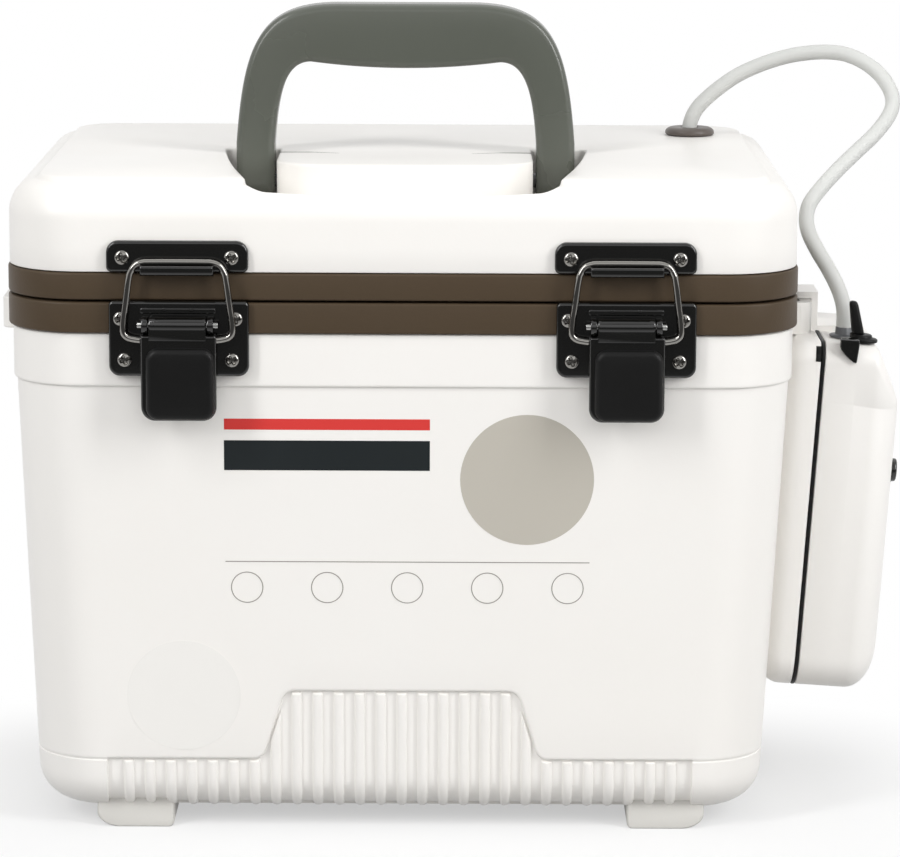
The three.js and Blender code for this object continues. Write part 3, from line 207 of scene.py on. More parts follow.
def loft(name, rings, smooth_below=40, weld=False):
    """A skin over rings that run anticlockwise as seen from the last one."""
    return mesh_piece(name, *capped(rings), smooth_below, weld)


def hoop(name, rings, smooth_below=50):
    """A skin over rings whose last one joins the first."""
    return mesh_piece(name, all_points(rings), strips(rings, closed=True), smooth_below)


def joined(name, bodies, smooth_below=40):
    """One mesh object from several closed bodies, each a list of rings."""
    points, faces = [], []
    for rings in bodies:
        add_faces(points, faces, *capped(rings))
    return mesh_piece(name, points, faces, smooth_below, weld=True)


# %% [markdown]
# ## The air hoses
#
# A soft vinyl hose carries air from the pump's barb, up and over, into the rubber grommet in the
# lid, and a second length goes on inside the tub to the air stone. A hose is a round tube of one
# thickness, so it is best made as a ring of points carried along a smooth curve through the
# places where it bends.

# %% Hose helpers
hose_radius = 3


def tube(name, path, radius, sides=24):
    """A capped round tube along a path; its rings turn with the path without twisting."""
    start = (path[1] - path[0]).normalized()
    across = Vector((0, 1, 0)) if abs(start.y) < 0.9 else Vector((1, 0, 0))
    rings = []
    for index, place in enumerate(path):
        ahead = path[min(index + 1, len(path) - 1)] - path[max(index - 1, 0)]
        ahead.normalize()
        across = (across - ahead * across.dot(ahead)).normalized()
        beside = ahead.cross(across)
        spokes = [across * math.cos(a) + beside * math.sin(a) for a in full_turn(sides)]
        rings.append([place + spoke * radius for spoke in spokes])
    return loft(name, rings, smooth_below=60)


def curve_through(places, steps):
    """Points on a smooth curve through the places, a few for each stretch."""
    first, last = places[0], places[-1]
    padded = [first * 2 - places[1], *places, last * 2 - places[-2]]
    points = []
    for before, start, end, after in zip(padded, padded[1:], padded[2:], padded[3:]):
        for step in range(steps):
            share = step / steps
            points.append(0.5 * (
                2 * start + (end - before) * share
                + (2 * before - 5 * start + 4 * end - after) * share ** 2
                + (3 * start - before - 3 * end + after) * share ** 3
            ))
    return [*points, last]


def add_hose(name, path, node):
    """A hose that leaves its fitting at the path's first place."""
    hose = tube(name, path, hose_radius * MM)
    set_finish(hose, "hose_vinyl")
    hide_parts(node)
    return hose


# %% The hose outside
air_route = [
    (115.5, 58, 248.7), (115.5, 58, 255), (117.5, 57.8, 260.5), (121, 57.2, 265), (127, 56, 270.5),
    (134.5, 54, 276), (143.5, 51, 280.6), (153, 47.5, 284.1), (161.4, 44, 286), (169.5, 40.2, 286.8),
    (176.8, 36.4, 286.2), (183.8, 32, 283.4), (189.4, 27.8, 279.1), (193.1, 23.8, 273.7),
    (194.2, 20.6, 268.8), (192.3, 17, 263.6), (186.5, 11.6, 257), (178.5, 5.2, 250.5),
    (171, -1, 244.4), (164.2, -6.8, 238.1), (159.1, -11.5, 232.2), (157.4, -15.2, 226.9),
    (158.2, -18.4, 221.2), (161.5, -21.8, 214.5), (165.5, -24.8, 208), (168.8, -27, 201.7),
    (171, -28.2, 195.6), (171.7, -28.5, 190.6), (171.7, -28.5, 185.1),
]
air_path = curve_through([at(*place) for place in reversed(air_route)], 5)
air_hose = add_hose("air_hose_tube", air_path, "air_hose")
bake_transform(air_hose)

# %% The hose inside
inner_route = [
    (115.5, 58, 199.8), (115.5, 58, 190), (114.5, 58, 165), (111.5, 56.5, 130), (107, 53.5, 95),
    (103, 51, 72), (101, 50, 65), (101, 50, 59.6),
]
inner_path = curve_through([at(*place) for place in inner_route], 4)
inner_hose = add_hose("inner_hose_tube", inner_path, "inner_hose")
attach(inner_hose, "tub")

# %% [markdown]
# ## The tub's outer shell
#
# The tub is blow-moulded white plastic: a rounded rectangle that gets narrower towards the floor,
# with a collar under the rim and, low on the front and back, a panel of half-round ribs that run
# down and round the bottom edge. The panel's top has a raised middle with sloping sides.
# Cutting each rib with a boolean would leave ragged shading, so the wall is made as a grid of
# columns and rows instead: the rows bend to follow the panel's outline, and each point is pushed
# in by how deep the ribbing is there.

# %% Sizes of the tub
band_half_x, band_half_y, band_radius = 149, 105.5, 29.5
body_bottom, collar_bottom, shell_top = 6.8, 174, 194.1
body_set_back, collar_set_back = 2.8, 1.6
wall_slope = math.tan(math.radians(2.75))
bottom_edge = 14
seam_level = 28.4
panel_top, panel_top_half, panel_corner, panel_lean = 55.5, 40.2, 5, math.radians(17)
left_spread = 0.015
panel_half = 110.7
rib_pitch, rib_half, rib_depth = 7.91, 2, 1.6
rib_steps = (-2, -1.88, -1.6, -1.15, -0.6, 0, 0.6, 1.15, 1.6, 1.88, 2)


def panel_outline(x):
    """How high the ribbed panel reaches at a place across the wall, and how steep its edge is there."""
    past = abs(x) - panel_top_half
    across, down = panel_corner * math.cos(panel_lean), panel_corner * (1 - math.sin(panel_lean))
    side_drop = panel_top - seam_level - 2 * down
    side_run = side_drop * math.tan(panel_lean)
    whole = 2 * across + side_run
    if past <= 0:
        return panel_top, 1
    if past >= whole:
        return seam_level, 1
    if across < past < whole - across:
        return panel_top - down - (past - across) / math.tan(panel_lean), 1 / math.sin(panel_lean)
    reach = min(past, whole - past)
    drop = panel_corner - math.sqrt(panel_corner ** 2 - reach ** 2)
    level = panel_top - drop if past <= across else seam_level + drop
    return level, panel_corner / math.sqrt(panel_corner ** 2 - reach ** 2)


def bezier(share, values):
    a, b, c, d = values
    rest = 1 - share
    return a * rest ** 3 + 3 * b * rest ** 2 * share + 3 * c * rest * share ** 2 + d * share ** 3


def ribbing(x):
    """Depth of the ribbed panel below the wall: nothing on a rib's crest, full between the ribs."""
    nearest = round(x / rib_pitch) * rib_pitch
    away = min(abs(x - nearest) / rib_half, 1)
    return rib_depth * (1 - math.sqrt(1 - away * away))


# %% Columns round the wall
rib_last = int((panel_half - rib_half) / rib_pitch)
rib_places = [k * rib_pitch + step for k in range(-rib_last, rib_last + 1) for step in rib_steps]
edge_step, edge_last = 0.66, 26
edge_places = [
    side * (panel_top_half + edge_step * step) for side in (-1, 1) for step in range(-1, edge_last + 1)
]
wall_places = [-panel_half - 0.3, -panel_half, panel_half, panel_half + 0.3, *rib_places]
for spot in edge_places:
    if all(abs(spot - known) > 0.2 for known in wall_places):
        wall_places.append(spot)
wall_places.sort()
corner_turn = quarter_turn(14)
columns = (
    [("wall", x, -1) for x in wall_places]
    + [("corner", 1, -1, angle - math.pi / 2) for angle in corner_turn]
    + [("side", 1, share) for share in (-0.5, 0, 0.5)]
    + [("corner", 1, 1, angle) for angle in corner_turn]
    + [("wall", -x, 1) for x in wall_places]
    + [("corner", -1, 1, angle + math.pi / 2) for angle in corner_turn]
    + [("side", -1, share) for share in (0.5, 0, -0.5)]
    + [("corner", -1, -1, angle + math.pi) for angle in corner_turn]
)


def spread_spot(column, z, half_x, half_y, radius, depth):
    """A column's place at a height; the side away from the pump spreads a little towards the floor."""
    x, y = column_spot(column, half_x, half_y, radius, depth)
    if x < 0 and z < collar_bottom:
        x *= 1 + left_spread * (collar_bottom - z) / (collar_bottom - body_bottom)
    return x, y


def column_spot(column, half_x, half_y, radius, depth):
    if column[0] == "wall":
        return column[1], column[2] * (half_y - depth)
    if column[0] == "side":
        return column[1] * (half_x - depth), column[2] * (half_y - radius)
    _, side_x, side_y, angle = column
    return (
        side_x * (half_x - radius) + (radius - depth) * math.cos(angle),
        side_y * (half_y - radius) + (radius - depth) * math.sin(angle),
    )


def body_half(band_half, z):
    return band_half - body_set_back - (collar_bottom - z) * wall_slope


print("columns:", len(columns), "for", 2 * rib_last + 1, "ribs on each long side")

# %% Rows down the wall
# Each row near the panel's edge: height above the edge, share of the panel's depth that is reached
# even on a rib's crest, share between the ribs, and depth of the plain seam beside the panel
edge_rows = (
    (1.4, 0, 0, 0), (0.7, 0.05, 0.05, 0), (0.3, 0.2, 0.2, 0.06), (0.05, 0.55, 0.55, 0.3),
    (-0.1, 1, 1, 0.34), (-0.55, 1, 1, 0.3), (-0.7, 0.75, 1, 0.05), (-0.9, 0.3, 1, 0),
    (-1.15, 0.06, 1, 0), (-1.6, 0, 1, 0),
)
wall_foot = body_bottom + bottom_edge


def panel_depth(column, on_rib, between, seam):
    if column[0] != "wall" or abs(column[1]) > panel_half:
        return seam
    rib = ribbing(column[1]) if abs(column[1]) < panel_half else rib_depth
    if between < 1:
        return rib_depth * between
    return rib + (rib_depth - rib) * on_rib


def near_edge(column, rise):
    """The height of a place that lies a way above the panel's edge, measured square to the edge."""
    level, steepness = panel_outline(column[1]) if column[0] == "wall" else (seam_level, 1)
    return level + rise * steepness


def wall_row(level_of, depth_of):
    row = []
    for column in columns:
        z = level_of(column)
        spot = spread_spot(
            column, z, body_half(band_half_x, z), body_half(band_half_y, z), band_radius - body_set_back,
            depth_of(column),
        )
        row.append(at(*spot, z))
    return row


def bottom_row(angle, flat):
    drawn_in = bottom_edge * (1 - math.cos(angle))
    z = body_bottom + bottom_edge * (1 - math.sin(angle))
    row = []
    for column in columns:
        depth = 0 if flat else panel_depth(column, 0, 1, 0)
        spot = spread_spot(
            column, z, body_half(band_half_x, z) - drawn_in, body_half(band_half_y, z) - drawn_in,
            band_radius - body_set_back - drawn_in, depth * math.cos(angle),
        )
        row.append(at(*spot, z + depth * math.sin(angle)))
    return row


def collar_row(z, set_back):
    return [
        at(*column_spot(column, band_half_x - set_back, band_half_y - set_back, band_radius - set_back, 0), z)
        for column in columns
    ]


# %% The shell
tub_rings = [bottom_row(math.pi / 2, True)]
tub_rings += [bottom_row(angle, False) for angle in reversed(quarter_turn(10))]
high_edge, low_edge = edge_rows[0][0], edge_rows[-1][0]
for share in (0.15, 0.4, 0.7, 0.9):
    tub_rings.append(wall_row(
        lambda column: wall_foot + (near_edge(column, low_edge) - wall_foot) * share,
        lambda column: panel_depth(column, 0, 1, 0),
    ))
for rise, on_rib, between, seam in reversed(edge_rows):
    tub_rings.append(wall_row(
        lambda column: near_edge(column, rise), lambda column: panel_depth(column, on_rib, between, seam),
    ))
for share in (0.1, 0.3, 0.55, 0.8, 0.97, 1):
    tub_rings.append(wall_row(
        lambda column: near_edge(column, high_edge) * (1 - share) + collar_bottom * share, lambda column: 0,
    ))
collar_edge = ((0.05, 2.5), (0.15, 2.1), (0.4, 1.8), (0.9, 1.65), (1.6, collar_set_back))
tub_rings += [collar_row(collar_bottom + rise, set_back) for rise, set_back in collar_edge]
tub_rings += [collar_row(shell_top - 0.4, collar_set_back), collar_row(shell_top, collar_set_back + 0.4)]
tub_rings += [collar_row(shell_top, 5.2), collar_row(182, 5.2)]
tub_skin = dressed(loft("tub_shell_skin", tub_rings, smooth_below=35), "white_plastic", "tub_shell", "tub")
print("tub shell:", len(tub_skin.data.polygons), "faces")

# %% [markdown]
# ## Rim bands
#
# A thick brown rubber band runs round the tub's rim and another round the lid's, with a fine
# parting line between them. Each is one closed ring with eased outer edges, so a profile carried
# round the rounded rectangle makes it in one piece.

# %% Rounded outline and the two bands
band_edge, band_thick = 0.9, 10
band_ease = (0, 0.4, 0.8, 1.2, 1.57)


def rounded_outline(half_x, half_y, radius, steps=16):
    """Points round a rectangle with round corners, anticlockwise from its right-hand side."""
    points = []
    for quarter, (side_x, side_y) in enumerate(((1, 1), (-1, 1), (-1, -1), (1, -1))):
        for step in range(steps + 1):
            angle = (quarter + step / steps) * math.pi / 2
            points.append((
                side_x * (half_x - radius) + radius * math.cos(angle),
                side_y * (half_y - radius) + radius * math.sin(angle),
            ))
    return points


def level_ring(z, inset):
    """The rim's outline at a height, drawn in by an inset."""
    outline = rounded_outline(band_half_x - inset, band_half_y - inset, band_radius - inset, 24)
    return [at(x, y, z) for x, y in outline]


def rim_band(name, low, high, body, node):
    ease = [(band_edge * (1 - math.cos(a)), band_edge * (1 - math.sin(a))) for a in band_ease]
    profile = [(low, band_thick), *((low + growing, falling) for growing, falling in ease)]
    profile += [*((high - falling, growing) for growing, falling in ease), (high, band_thick)]
    return dressed(hoop(name, [level_ring(z, inset) for z, inset in profile]), "brown_rubber", node, body)


tub_band = rim_band("tub_rim_rubber", 194.4, 206, "tub", "tub_rim_band")
lid_band = rim_band("lid_rim_rubber", 206.9, 217, "lid", "lid_rim_band")
print("bands:", tub_band.name, lid_band.name)

# %% [markdown]
# ## Feet
#
# Four small moulded feet stand under the corners. Their outer lower corner is cut round, so each
# is one outline seen from the front, carried back in eased steps. A foot is the tub's white plastic,
# but it gets a darker finish of its own as painted shade for the shadow under the tub; pieces with
# a finish of their own are noted here.

# %% Feet
own_finish = {}
foot_middle = {"left": 102.2, "right": 101.3}
foot_half, foot_front, foot_deep, foot_slope = 14.8, 90.9, 28.9, 0.3
foot_top, inner_round, outer_round_x, outer_round_z = 10.7, 2, 9.2, 5.4
foot_steps = ((0, 0.9), (0.25, 0.35), (0.9, 0), (foot_deep - 0.6, 0), (foot_deep, 0.4))


def foot_outline(inset=0):
    """A foot seen from the front, on the right: round outside below, tight inside, open to the body."""
    right, left = foot_half - inset, -foot_half + inset
    points = [(left, foot_top), (left, inner_round + inset)]
    for angle in quarter_turn(6)[1:-1]:
        x = left + inner_round * (1 - math.cos(angle))
        points.append((x, inset + inner_round * (1 - math.sin(angle))))
    points.append((left + inner_round, inset))
    for angle in quarter_turn(12):
        x = right - outer_round_x * (1 - math.sin(angle))
        points.append((x, inset + outer_round_z * (1 - math.cos(angle))))
    return [*points, (right, foot_top)]


for side_name, side_x in (("left", -1), ("right", 1)):
    for end_name, side_y in (("front", -1), ("rear", 1)):
        foot_rings = []
        for back, inset in foot_steps:
            slope = foot_slope if back < 1 else 0
            foot_rings.append([
                at(side_x * (foot_middle[side_name] + x), side_y * (foot_front - back - slope * z), z)
                for x, z in foot_outline(inset)
            ])
        foot = loft(f"foot_pad_{end_name}_{side_name}", foot_rings, weld=True)
        dressed(foot, "white_plastic", f"foot_{end_name}_{side_name}", "tub")
        # painted shade: the feet get a darker tone than the tub for the shadow under it
        own_finish[foot.name] = "foot_painted_shade"
print("feet:", list(own_finish))

# %% [markdown]
# ## Printed shapes
#
# Flat printed shapes lie on the front: a stripe, a bar, a disc, a thin rule and five small rings.
# Each is a thin film on the sloping wall, and a clear round film sits lower down.

# %% Films
film_lift, film_thick = 0.02, 0.06


def film_piece(name, outline, finish_name, body, placed, hole=(), thick=film_thick):
    """A thin film from an outline, with a hole if given; placed sets a spot at a height over the skin."""
    points = []
    for rise in (film_lift, film_lift + thick):
        points += [placed(u, v, rise) for u, v in (*outline, *hole)]
    count, top = len(outline), len(points) // 2
    pairs = [(i, (i + 1) % count) for i in range(count)]
    faces = [(a, top + a, top + b, b) for a, b in pairs]
    if hole:
        faces += [(a, b, count + b, count + a) for a, b in pairs]
        faces += [(count + a, count + b, top + count + b, top + count + a) for a, b in pairs]
        faces += [(top + a, top + count + a, top + count + b, top + b) for a, b in pairs]
    else:
        faces += [tuple(range(count)), tuple(reversed(range(top, 2 * top)))]
    piece = mesh_piece(name, points, faces, weld=True)
    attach(piece, body)
    own_finish[name] = finish_name


def on_wall(x, z, rise):
    return at(x, -body_half(band_half_y, z) - rise, z)


def bar(left, low, right, high):
    return [(left, low), (right, low), (right, high), (left, high)]


def disc(x, z, radius, sides=72):
    return [(x + radius * math.cos(a), z + radius * math.sin(a)) for a in full_turn(sides)]


# %% Shapes on the front
front_shapes = {
    "label_stripe": (bar(-66.6, 157.6, 10.4, 161.8), "label_red"),
    "label_bar": (bar(-66.7, 142, 10.4, 153.5), "label_dark"),
    "label_disc": (disc(46.9, 138.6, 25.1), "label_taupe"),
    "label_rule": (bar(-66.5, 106.4, 70.7, 106.75), "label_line"),
    "clear_disc": (disc(-82.8, 53.7, 21.6, 96), "label_clear"),
}
for name, (outline, finish_name) in front_shapes.items():
    film_piece(name, outline, finish_name, "tub", on_wall)
ring_places = (-58.4, -28.2, 2, 32.2, 62.5)
ring_level, ring_outer, ring_inner = 96.5, 6.1, 5.75
for index, x in enumerate(ring_places):
    outer, inner = (disc(x, ring_level, radius, 48) for radius in (ring_outer, ring_inner))
    film_piece(f"label_ring_{index + 1}", outer, "label_line", "tub", on_wall, inner)
print("shapes on the front:", len(front_shapes) + len(ring_places))

# %% [markdown]
# ## The lid
#
# The lid's outer shell curves over from its upright side to a flat top through a broad round
# shoulder, with a small step just before the top. A deep pocket for the folded handle is sunk
# into it, and a block stands in the pocket's middle. The pocket cuts into the shoulder at the
# front, so a boolean would leave thin broken faces just where the light shows them. Here the top
# is laid out flat instead, as outlines one inside the other, filled with triangles, and then
# each point is lifted to the height of the surface above it.

# %% Sizes of the lid
lid_low, lid_high = 217.3, 251.1
lid_half_x, lid_half_y, lid_radius = 148.4, 104.9, 28.9
shoulder_run, shoulder_rise, shoulder_level = 10.5, 13, 236.1
pocket_floor, floor_round, rim_round = 230.6, 2, 1.1
ease_angles = (0, 0.4, 0.8, 1.2, 1.5708)

# Across the lid's shoulder and up over the step to its top: inset and height
lid_profile = [
    (shoulder_run * (1 - math.cos(angle)), shoulder_level + shoulder_rise * math.sin(angle))
    for angle in quarter_turn(12)
]
lid_profile += [(10.8, 249.35), (11.15, 249.95), (11.5, 250.55), (11.85, 250.92), (12.4, lid_high)]


def lid_height(x, y):
    """Height of the lid's skin over a place, from how far that place is inside the lid's outline."""
    past_x = abs(x) - (lid_half_x - lid_radius)
    past_y = abs(y) - (lid_half_y - lid_radius)
    outside = math.hypot(max(past_x, 0), max(past_y, 0)) + min(max(past_x, past_y), 0)
    inset = lid_radius - outside
    if inset <= 0:
        return shoulder_level
    for (near, low), (far, high) in zip(lid_profile, lid_profile[1:]):
        if inset <= far:
            return low + (high - low) * (inset - near) / (far - near)
    return lid_high


# %% The pocket's outline
def round_corners(corners, steps=8):
    """A closed outline from corners that each have their own radius."""
    points = []
    for index, (x, y, radius) in enumerate(corners):
        here = Vector((x, y))
        before = (Vector(corners[index - 1][:2]) - here).normalized()
        after = (Vector(corners[(index + 1) % len(corners)][:2]) - here).normalized()
        if radius == 0:
            points.append((x, y))
            continue
        half = before.angle(after) / 2
        middle = here + (before + after).normalized() * (radius / math.sin(half))
        start = here + before * (radius / math.tan(half)) - middle
        end = here + after * (radius / math.tan(half)) - middle
        sweep = start.angle_signed(end)
        for step in range(steps + 1):
            angle = -sweep * step / steps
            points.append((
                middle.x + start.x * math.cos(angle) - start.y * math.sin(angle),
                middle.y + start.x * math.sin(angle) + start.y * math.cos(angle),
            ))
    return points


def bowed_side(side):
    """The pocket's side, from front to rear, bowed out a little."""
    spots = []
    for share in (0.12, 0.3, 0.5, 0.7, 0.88):
        rest = 1 - share
        x = 59 * rest ** 2 + 2 * 68 * rest * share + 71 * share ** 2
        y = -90 * rest ** 2 - 2 * 43 * rest * share + share ** 2
        spots.append((side * x, y, 0))
    return spots


# Corners of the pocket's right half, from the front round to the block: x, y and the corner's radius
right_half = [(x, -101.5 + 1.5 * (x / 47) ** 2, 0) for x in (0, 12, 24, 36, 46)]
right_half += [(57.6, -99.4, 9), *bowed_side(1), (71.1, 4, 3), (49.6, 4, 1.5), (49.6, -50, 19)]
left_half = [(-x, y, radius) for x, y, radius in reversed(right_half[1:])]
pocket_outline = round_corners(right_half + left_half)


def moved_out(outline, distance):
    """An anticlockwise outline, moved outwards by a distance."""
    moved = []
    for index, point in enumerate(outline):
        before, here = Vector(outline[index - 1]), Vector(point)
        after = Vector(outline[(index + 1) % len(outline)])
        first, second = (here - before).normalized(), (after - here).normalized()
        normal = (Vector((first.y, -first.x)) + Vector((second.y, -second.x))).normalized()
        stretch = min(1 / max(normal.dot(Vector((first.y, -first.x))), 0.5), 2)
        moved.append(tuple(here + normal * distance * stretch))
    return moved


def inside(point, outline):
    """Whether a place lies within an outline."""
    x, y = point
    within = False
    for (ax, ay), (bx, by) in zip(outline, [*outline[1:], outline[0]]):
        if (ay > y) != (by > y) and x < ax + (bx - ax) * (y - ay) / (by - ay):
            within = not within
    return within


print("pocket outline:", len(pocket_outline), "points")

# %% The lid's skin
def spaced(outline, most=9):
    """The same outline with its long straight stretches divided."""
    points = []
    for start, end in zip(outline, [*outline[1:], outline[0]]):
        parts = max(1, math.ceil(math.dist(start, end) / most))
        points += [
            (start[0] + (end[0] - start[0]) * part / parts, start[1] + (end[1] - start[1]) * part / parts)
            for part in range(parts)
        ]
    return points


def lid_outline(inset):
    outline = rounded_outline(lid_half_x - inset, lid_half_y - inset, max(lid_radius - inset, 2), 14)
    return spaced(outline)


def filled(loops, hole=()):
    """Triangles between nested outlines, within the first and outside the hole: flat points and faces."""
    points = [Vector(point) for loop in loops for point in loop]
    edges, first = [], 0
    for loop in loops:
        edges += [(first + index, first + (index + 1) % len(loop)) for index in range(len(loop))]
        first += len(loop)
    flat, _, faces, *_ = delaunay_2d_cdt(points, edges, [], 0, 1e-4)
    kept = []
    for face in faces:
        middle = sum((flat[corner] for corner in face), Vector((0, 0))) / len(face)
        if inside(middle, loops[0]) and not (hole and inside(middle, hole)):
            kept.append(tuple(face))
    return flat, kept


rim_loop = moved_out(pocket_outline, rim_round)
flat, lid_faces = filled([*(lid_outline(inset) for inset, _ in lid_profile), rim_loop], hole=rim_loop)
lid_points = [at(point.x, point.y, lid_height(point.x, point.y)) for point in flat]

pocket_rings = []
for angle in ease_angles:
    loop = moved_out(pocket_outline, rim_round * (1 - math.sin(angle)))
    drop = rim_round * (1 - math.cos(angle))
    pocket_rings.append([at(x, y, lid_height(x, y) - drop) for x, y in loop])
for angle in ease_angles:
    loop = moved_out(pocket_outline, -floor_round * (1 - math.cos(angle)))
    pocket_rings.append([at(x, y, pocket_floor + floor_round * (1 - math.sin(angle))) for x, y in loop])
add_faces(lid_points, lid_faces, all_points(pocket_rings), [face[::-1] for face in strips(pocket_rings)])

flat, floor_faces = filled([moved_out(pocket_outline, -floor_round)])
add_faces(lid_points, lid_faces, [at(point.x, point.y, pocket_floor) for point in flat], floor_faces)

side_levels = (
    (lid_low, 3), (lid_low, 0.5), (lid_low + 0.15, 0.15), (lid_low + 0.5, 0), (226, 0), (shoulder_level, 0),
)
side_rings = [[at(x, y, z) for x, y in lid_outline(inset)] for z, inset in side_levels]
add_faces(lid_points, lid_faces, all_points(side_rings), strips(side_rings))
lid_skin = mesh_piece("lid_shell_skin", lid_points, lid_faces, weld=True)
dressed(lid_skin, "white_plastic", "lid_shell", "lid")
print("lid shell:", len(lid_skin.data.polygons), "faces")

# %% [markdown]
# ## The strap lug away from the pump
#
# A moulded loop stands out of the rim for a carrying strap. On the side away from the pump it is
# a flat bar bent round a slot: an outline with a hole, filled above and below, and walls between.

# %% Strap lug
lug_half, lug_near, lug_far, lug_top, lug_low = 25, 147.7, 157.7, 195.4, 183.2
slot_half, slot_near, slot_far = lug_half - 5, lug_near + 2.2, lug_far - 4
lug_outer = round_corners([
    (lug_near, -lug_half, 0), (lug_far, -lug_half, 4.5), (lug_far, lug_half, 4.5), (lug_near, lug_half, 0),
])
lug_slot = round_corners([
    (slot_near, -slot_half, 0.8), (slot_far, -slot_half, 0.8),
    (slot_far, slot_half, 0.8), (slot_near, slot_half, 0.8),
])
flat, flat_faces = filled([lug_outer, lug_slot], hole=lug_slot)
lug_points = [at(-point.x, point.y, lug_top) for point in flat]
lug_faces = [face[::-1] for face in flat_faces]
add_faces(lug_points, lug_faces, [at(-point.x, point.y, lug_low) for point in flat], flat_faces)
for outline, levels in ((lug_outer, (lug_low, lug_top)), (lug_slot, (lug_top, lug_low))):
    wall = [[at(-x, y, z) for x, y in outline] for z in levels]
    add_faces(lug_points, lug_faces, all_points(wall), strips(wall))
lug = mesh_piece("strap_lug_loop_left", lug_points, lug_faces, weld=True)
dressed(lug, "white_plastic", "strap_lug_left", "tub")
ease_edges(lug)
print("lug:", len(lug.data.polygons), "faces")

# %% [markdown]
# ## The gap behind the block
#
# Behind the block's two rear corners a fine gap parts it from the lid's top and runs out towards
# the middle. It is only a shadow line, so it is laid on as a thin dark film that tapers away.

# %% Gap films
gap_outline = [(49.4, -10.6), (49.4, -9.3), (38, -8.6), (26, -12.6), (36, -9.9), (43, -10.3)]


def on_lid(x, y, rise):
    return at(x, y, lid_high + rise)


for side_name, side in (("left", -1), ("right", 1)):
    outline = [(side * x, y) for x, y in gap_outline]
    film_piece(f"block_gap_{side_name}", outline, "gap_shade", "lid", on_lid, thick=0.05)
print("gap films laid")

# %% [markdown]
# ## The carry handle
#
# The handle is one glossy moulding: two flat arms that run up from the pins, swell at the
# shoulders and meet in a deep grip. Its section is a rounded rectangle the whole way, only the
# width changes, so it is lofted from sections set across the arch, from one arm's round end over
# the grip to the other's.

# %% The handle
handle_half, arm_width, handle_rise = 66.2, 15, 69.5
handle_thick, grip_depth, grip_bow = 16, 25, 2.4
pivot_y, pivot_z = -8, 240.1
inner_half = handle_half - arm_width
grip_low = handle_rise - grip_depth


def arch_stations():
    """Inner and outer places of the handle's right half, from the grip's middle to the pin."""
    stations = []
    end_x = inner_half - arm_width * 0.95
    for step in range(9):
        share = step / 9
        inner = (end_x * share, grip_low + grip_bow * share ** 2)
        stations.append((inner, (inner_half / 2 * share, handle_rise)))
    inner_corners = (
        (end_x, inner_half - arm_width * 0.35, inner_half - arm_width * 0.1, inner_half),
        (grip_low + grip_bow, grip_low + grip_bow, grip_low - arm_width * 0.5, grip_low - 2 * arm_width),
    )
    outer_corners = (
        (inner_half / 2, handle_half - arm_width * 0.6, handle_half - arm_width * 0.2, handle_half),
        (handle_rise, handle_rise, handle_rise - arm_width, arm_width),
    )
    for step in range(29):
        share = step / 28
        stations.append((
            (bezier(share, inner_corners[0]), bezier(share, inner_corners[1])),
            (bezier(share, outer_corners[0]), bezier(share, outer_corners[1])),
        ))
    for share in (0.35, 0.7, 1):
        inner_z, outer_z = (grip_low - 2 * arm_width) * (1 - share), arm_width * (1 - share)
        stations.append(((inner_half, inner_z), (handle_half, outer_z)))
    return stations


def handle_section(inner, outer, half_thick, edge=3):
    """A rounded rectangle that stands across the arch between an inner and an outer place."""
    inner, outer = Vector(inner), Vector(outer)
    along, middle = (outer - inner) / 2, (outer + inner) / 2
    half_width = along.length
    along.normalize()
    edge = min(edge, half_thick * 0.98)
    outline = rounded_outline(half_width, half_thick, edge, 5)
    return [at(middle.x + along.x * u, pivot_y + v, pivot_z + middle.y + along.y * u) for u, v in outline]


right_sections = [handle_section(inner, outer, handle_thick / 2) for inner, outer in arch_stations()]
for angle in quarter_turn(12)[1:-1]:
    drop = handle_thick / 2 * math.sin(angle)
    half_thick = handle_thick / 2 * math.cos(angle)
    right_sections.append(handle_section((inner_half, -drop), (handle_half, -drop), half_thick))


def mirrored(section):
    """The same section on the handle's left arm, still running the same way round."""
    return [Vector((2 * box_middle.x - point.x, point.y, point.z)) for point in section]


handle_rings = [mirrored(section) for section in reversed(right_sections)] + right_sections[1:]
handle_skin = loft("carry_handle", handle_rings, smooth_below=50, weld=True)
dressed(handle_skin, "handle_plastic", "handle", "handle")
print("handle:", len(handle_rings), "sections")

# %% [markdown]
# ## Over-centre latches
#
# Each latch has a base with two ears on the tub, a catch with a hooked ledge on the lid, a lever
# with a soft grip pad, and a wire bail that the lever pulls down over the hook. The plates are
# glossy black mouldings with rounded corners and eased edges, which is where they catch the light,
# so every plate is a stack of outlines that draws in at its front.

# %% Plate helpers
def plate_rings(middle_x, outline, back, front, edge, steps):
    """A plate from its back to its front, with its last outlines drawn in over an eased edge."""
    rings = [[at(middle_x + x, back, z) for x, z in outline]]
    for angle in quarter_turn(steps):
        drawn = moved_out(outline, -edge * (1 - math.cos(angle)))
        y = front + edge * (1 - math.sin(angle))
        rings.append([at(middle_x + x, y, z) for x, z in drawn])
    return rings


def plate_outline(half_x, low, high, radius, steps=10):
    middle, half_z = (low + high) / 2, (high - low) / 2
    return [(x, z + middle) for x, z in rounded_outline(half_x, half_z, radius, steps)]


def plate_corners(half_x, low, high, low_radius, high_radius, steps=8):
    """A plate's outline whose lower and upper corners are rounded differently."""
    return round_corners([
        (half_x, high, high_radius), (-half_x, high, high_radius),
        (-half_x, low, low_radius), (half_x, low, low_radius),
    ], steps)


def rod_rings(middle_x, half, y, z, radius, edge=0.4, sides=28):
    """A rod along x with eased ends."""
    ends = ((half, radius - edge), (half - edge * 0.3, radius - edge * 0.3), (half - edge, radius))
    profile = [(-out, reach) for out, reach in ends] + [*reversed(ends)]
    return [
        [at(middle_x + out, y + reach * math.cos(a), z + reach * math.sin(a)) for a in full_turn(sides)]
        for out, reach in profile
    ]


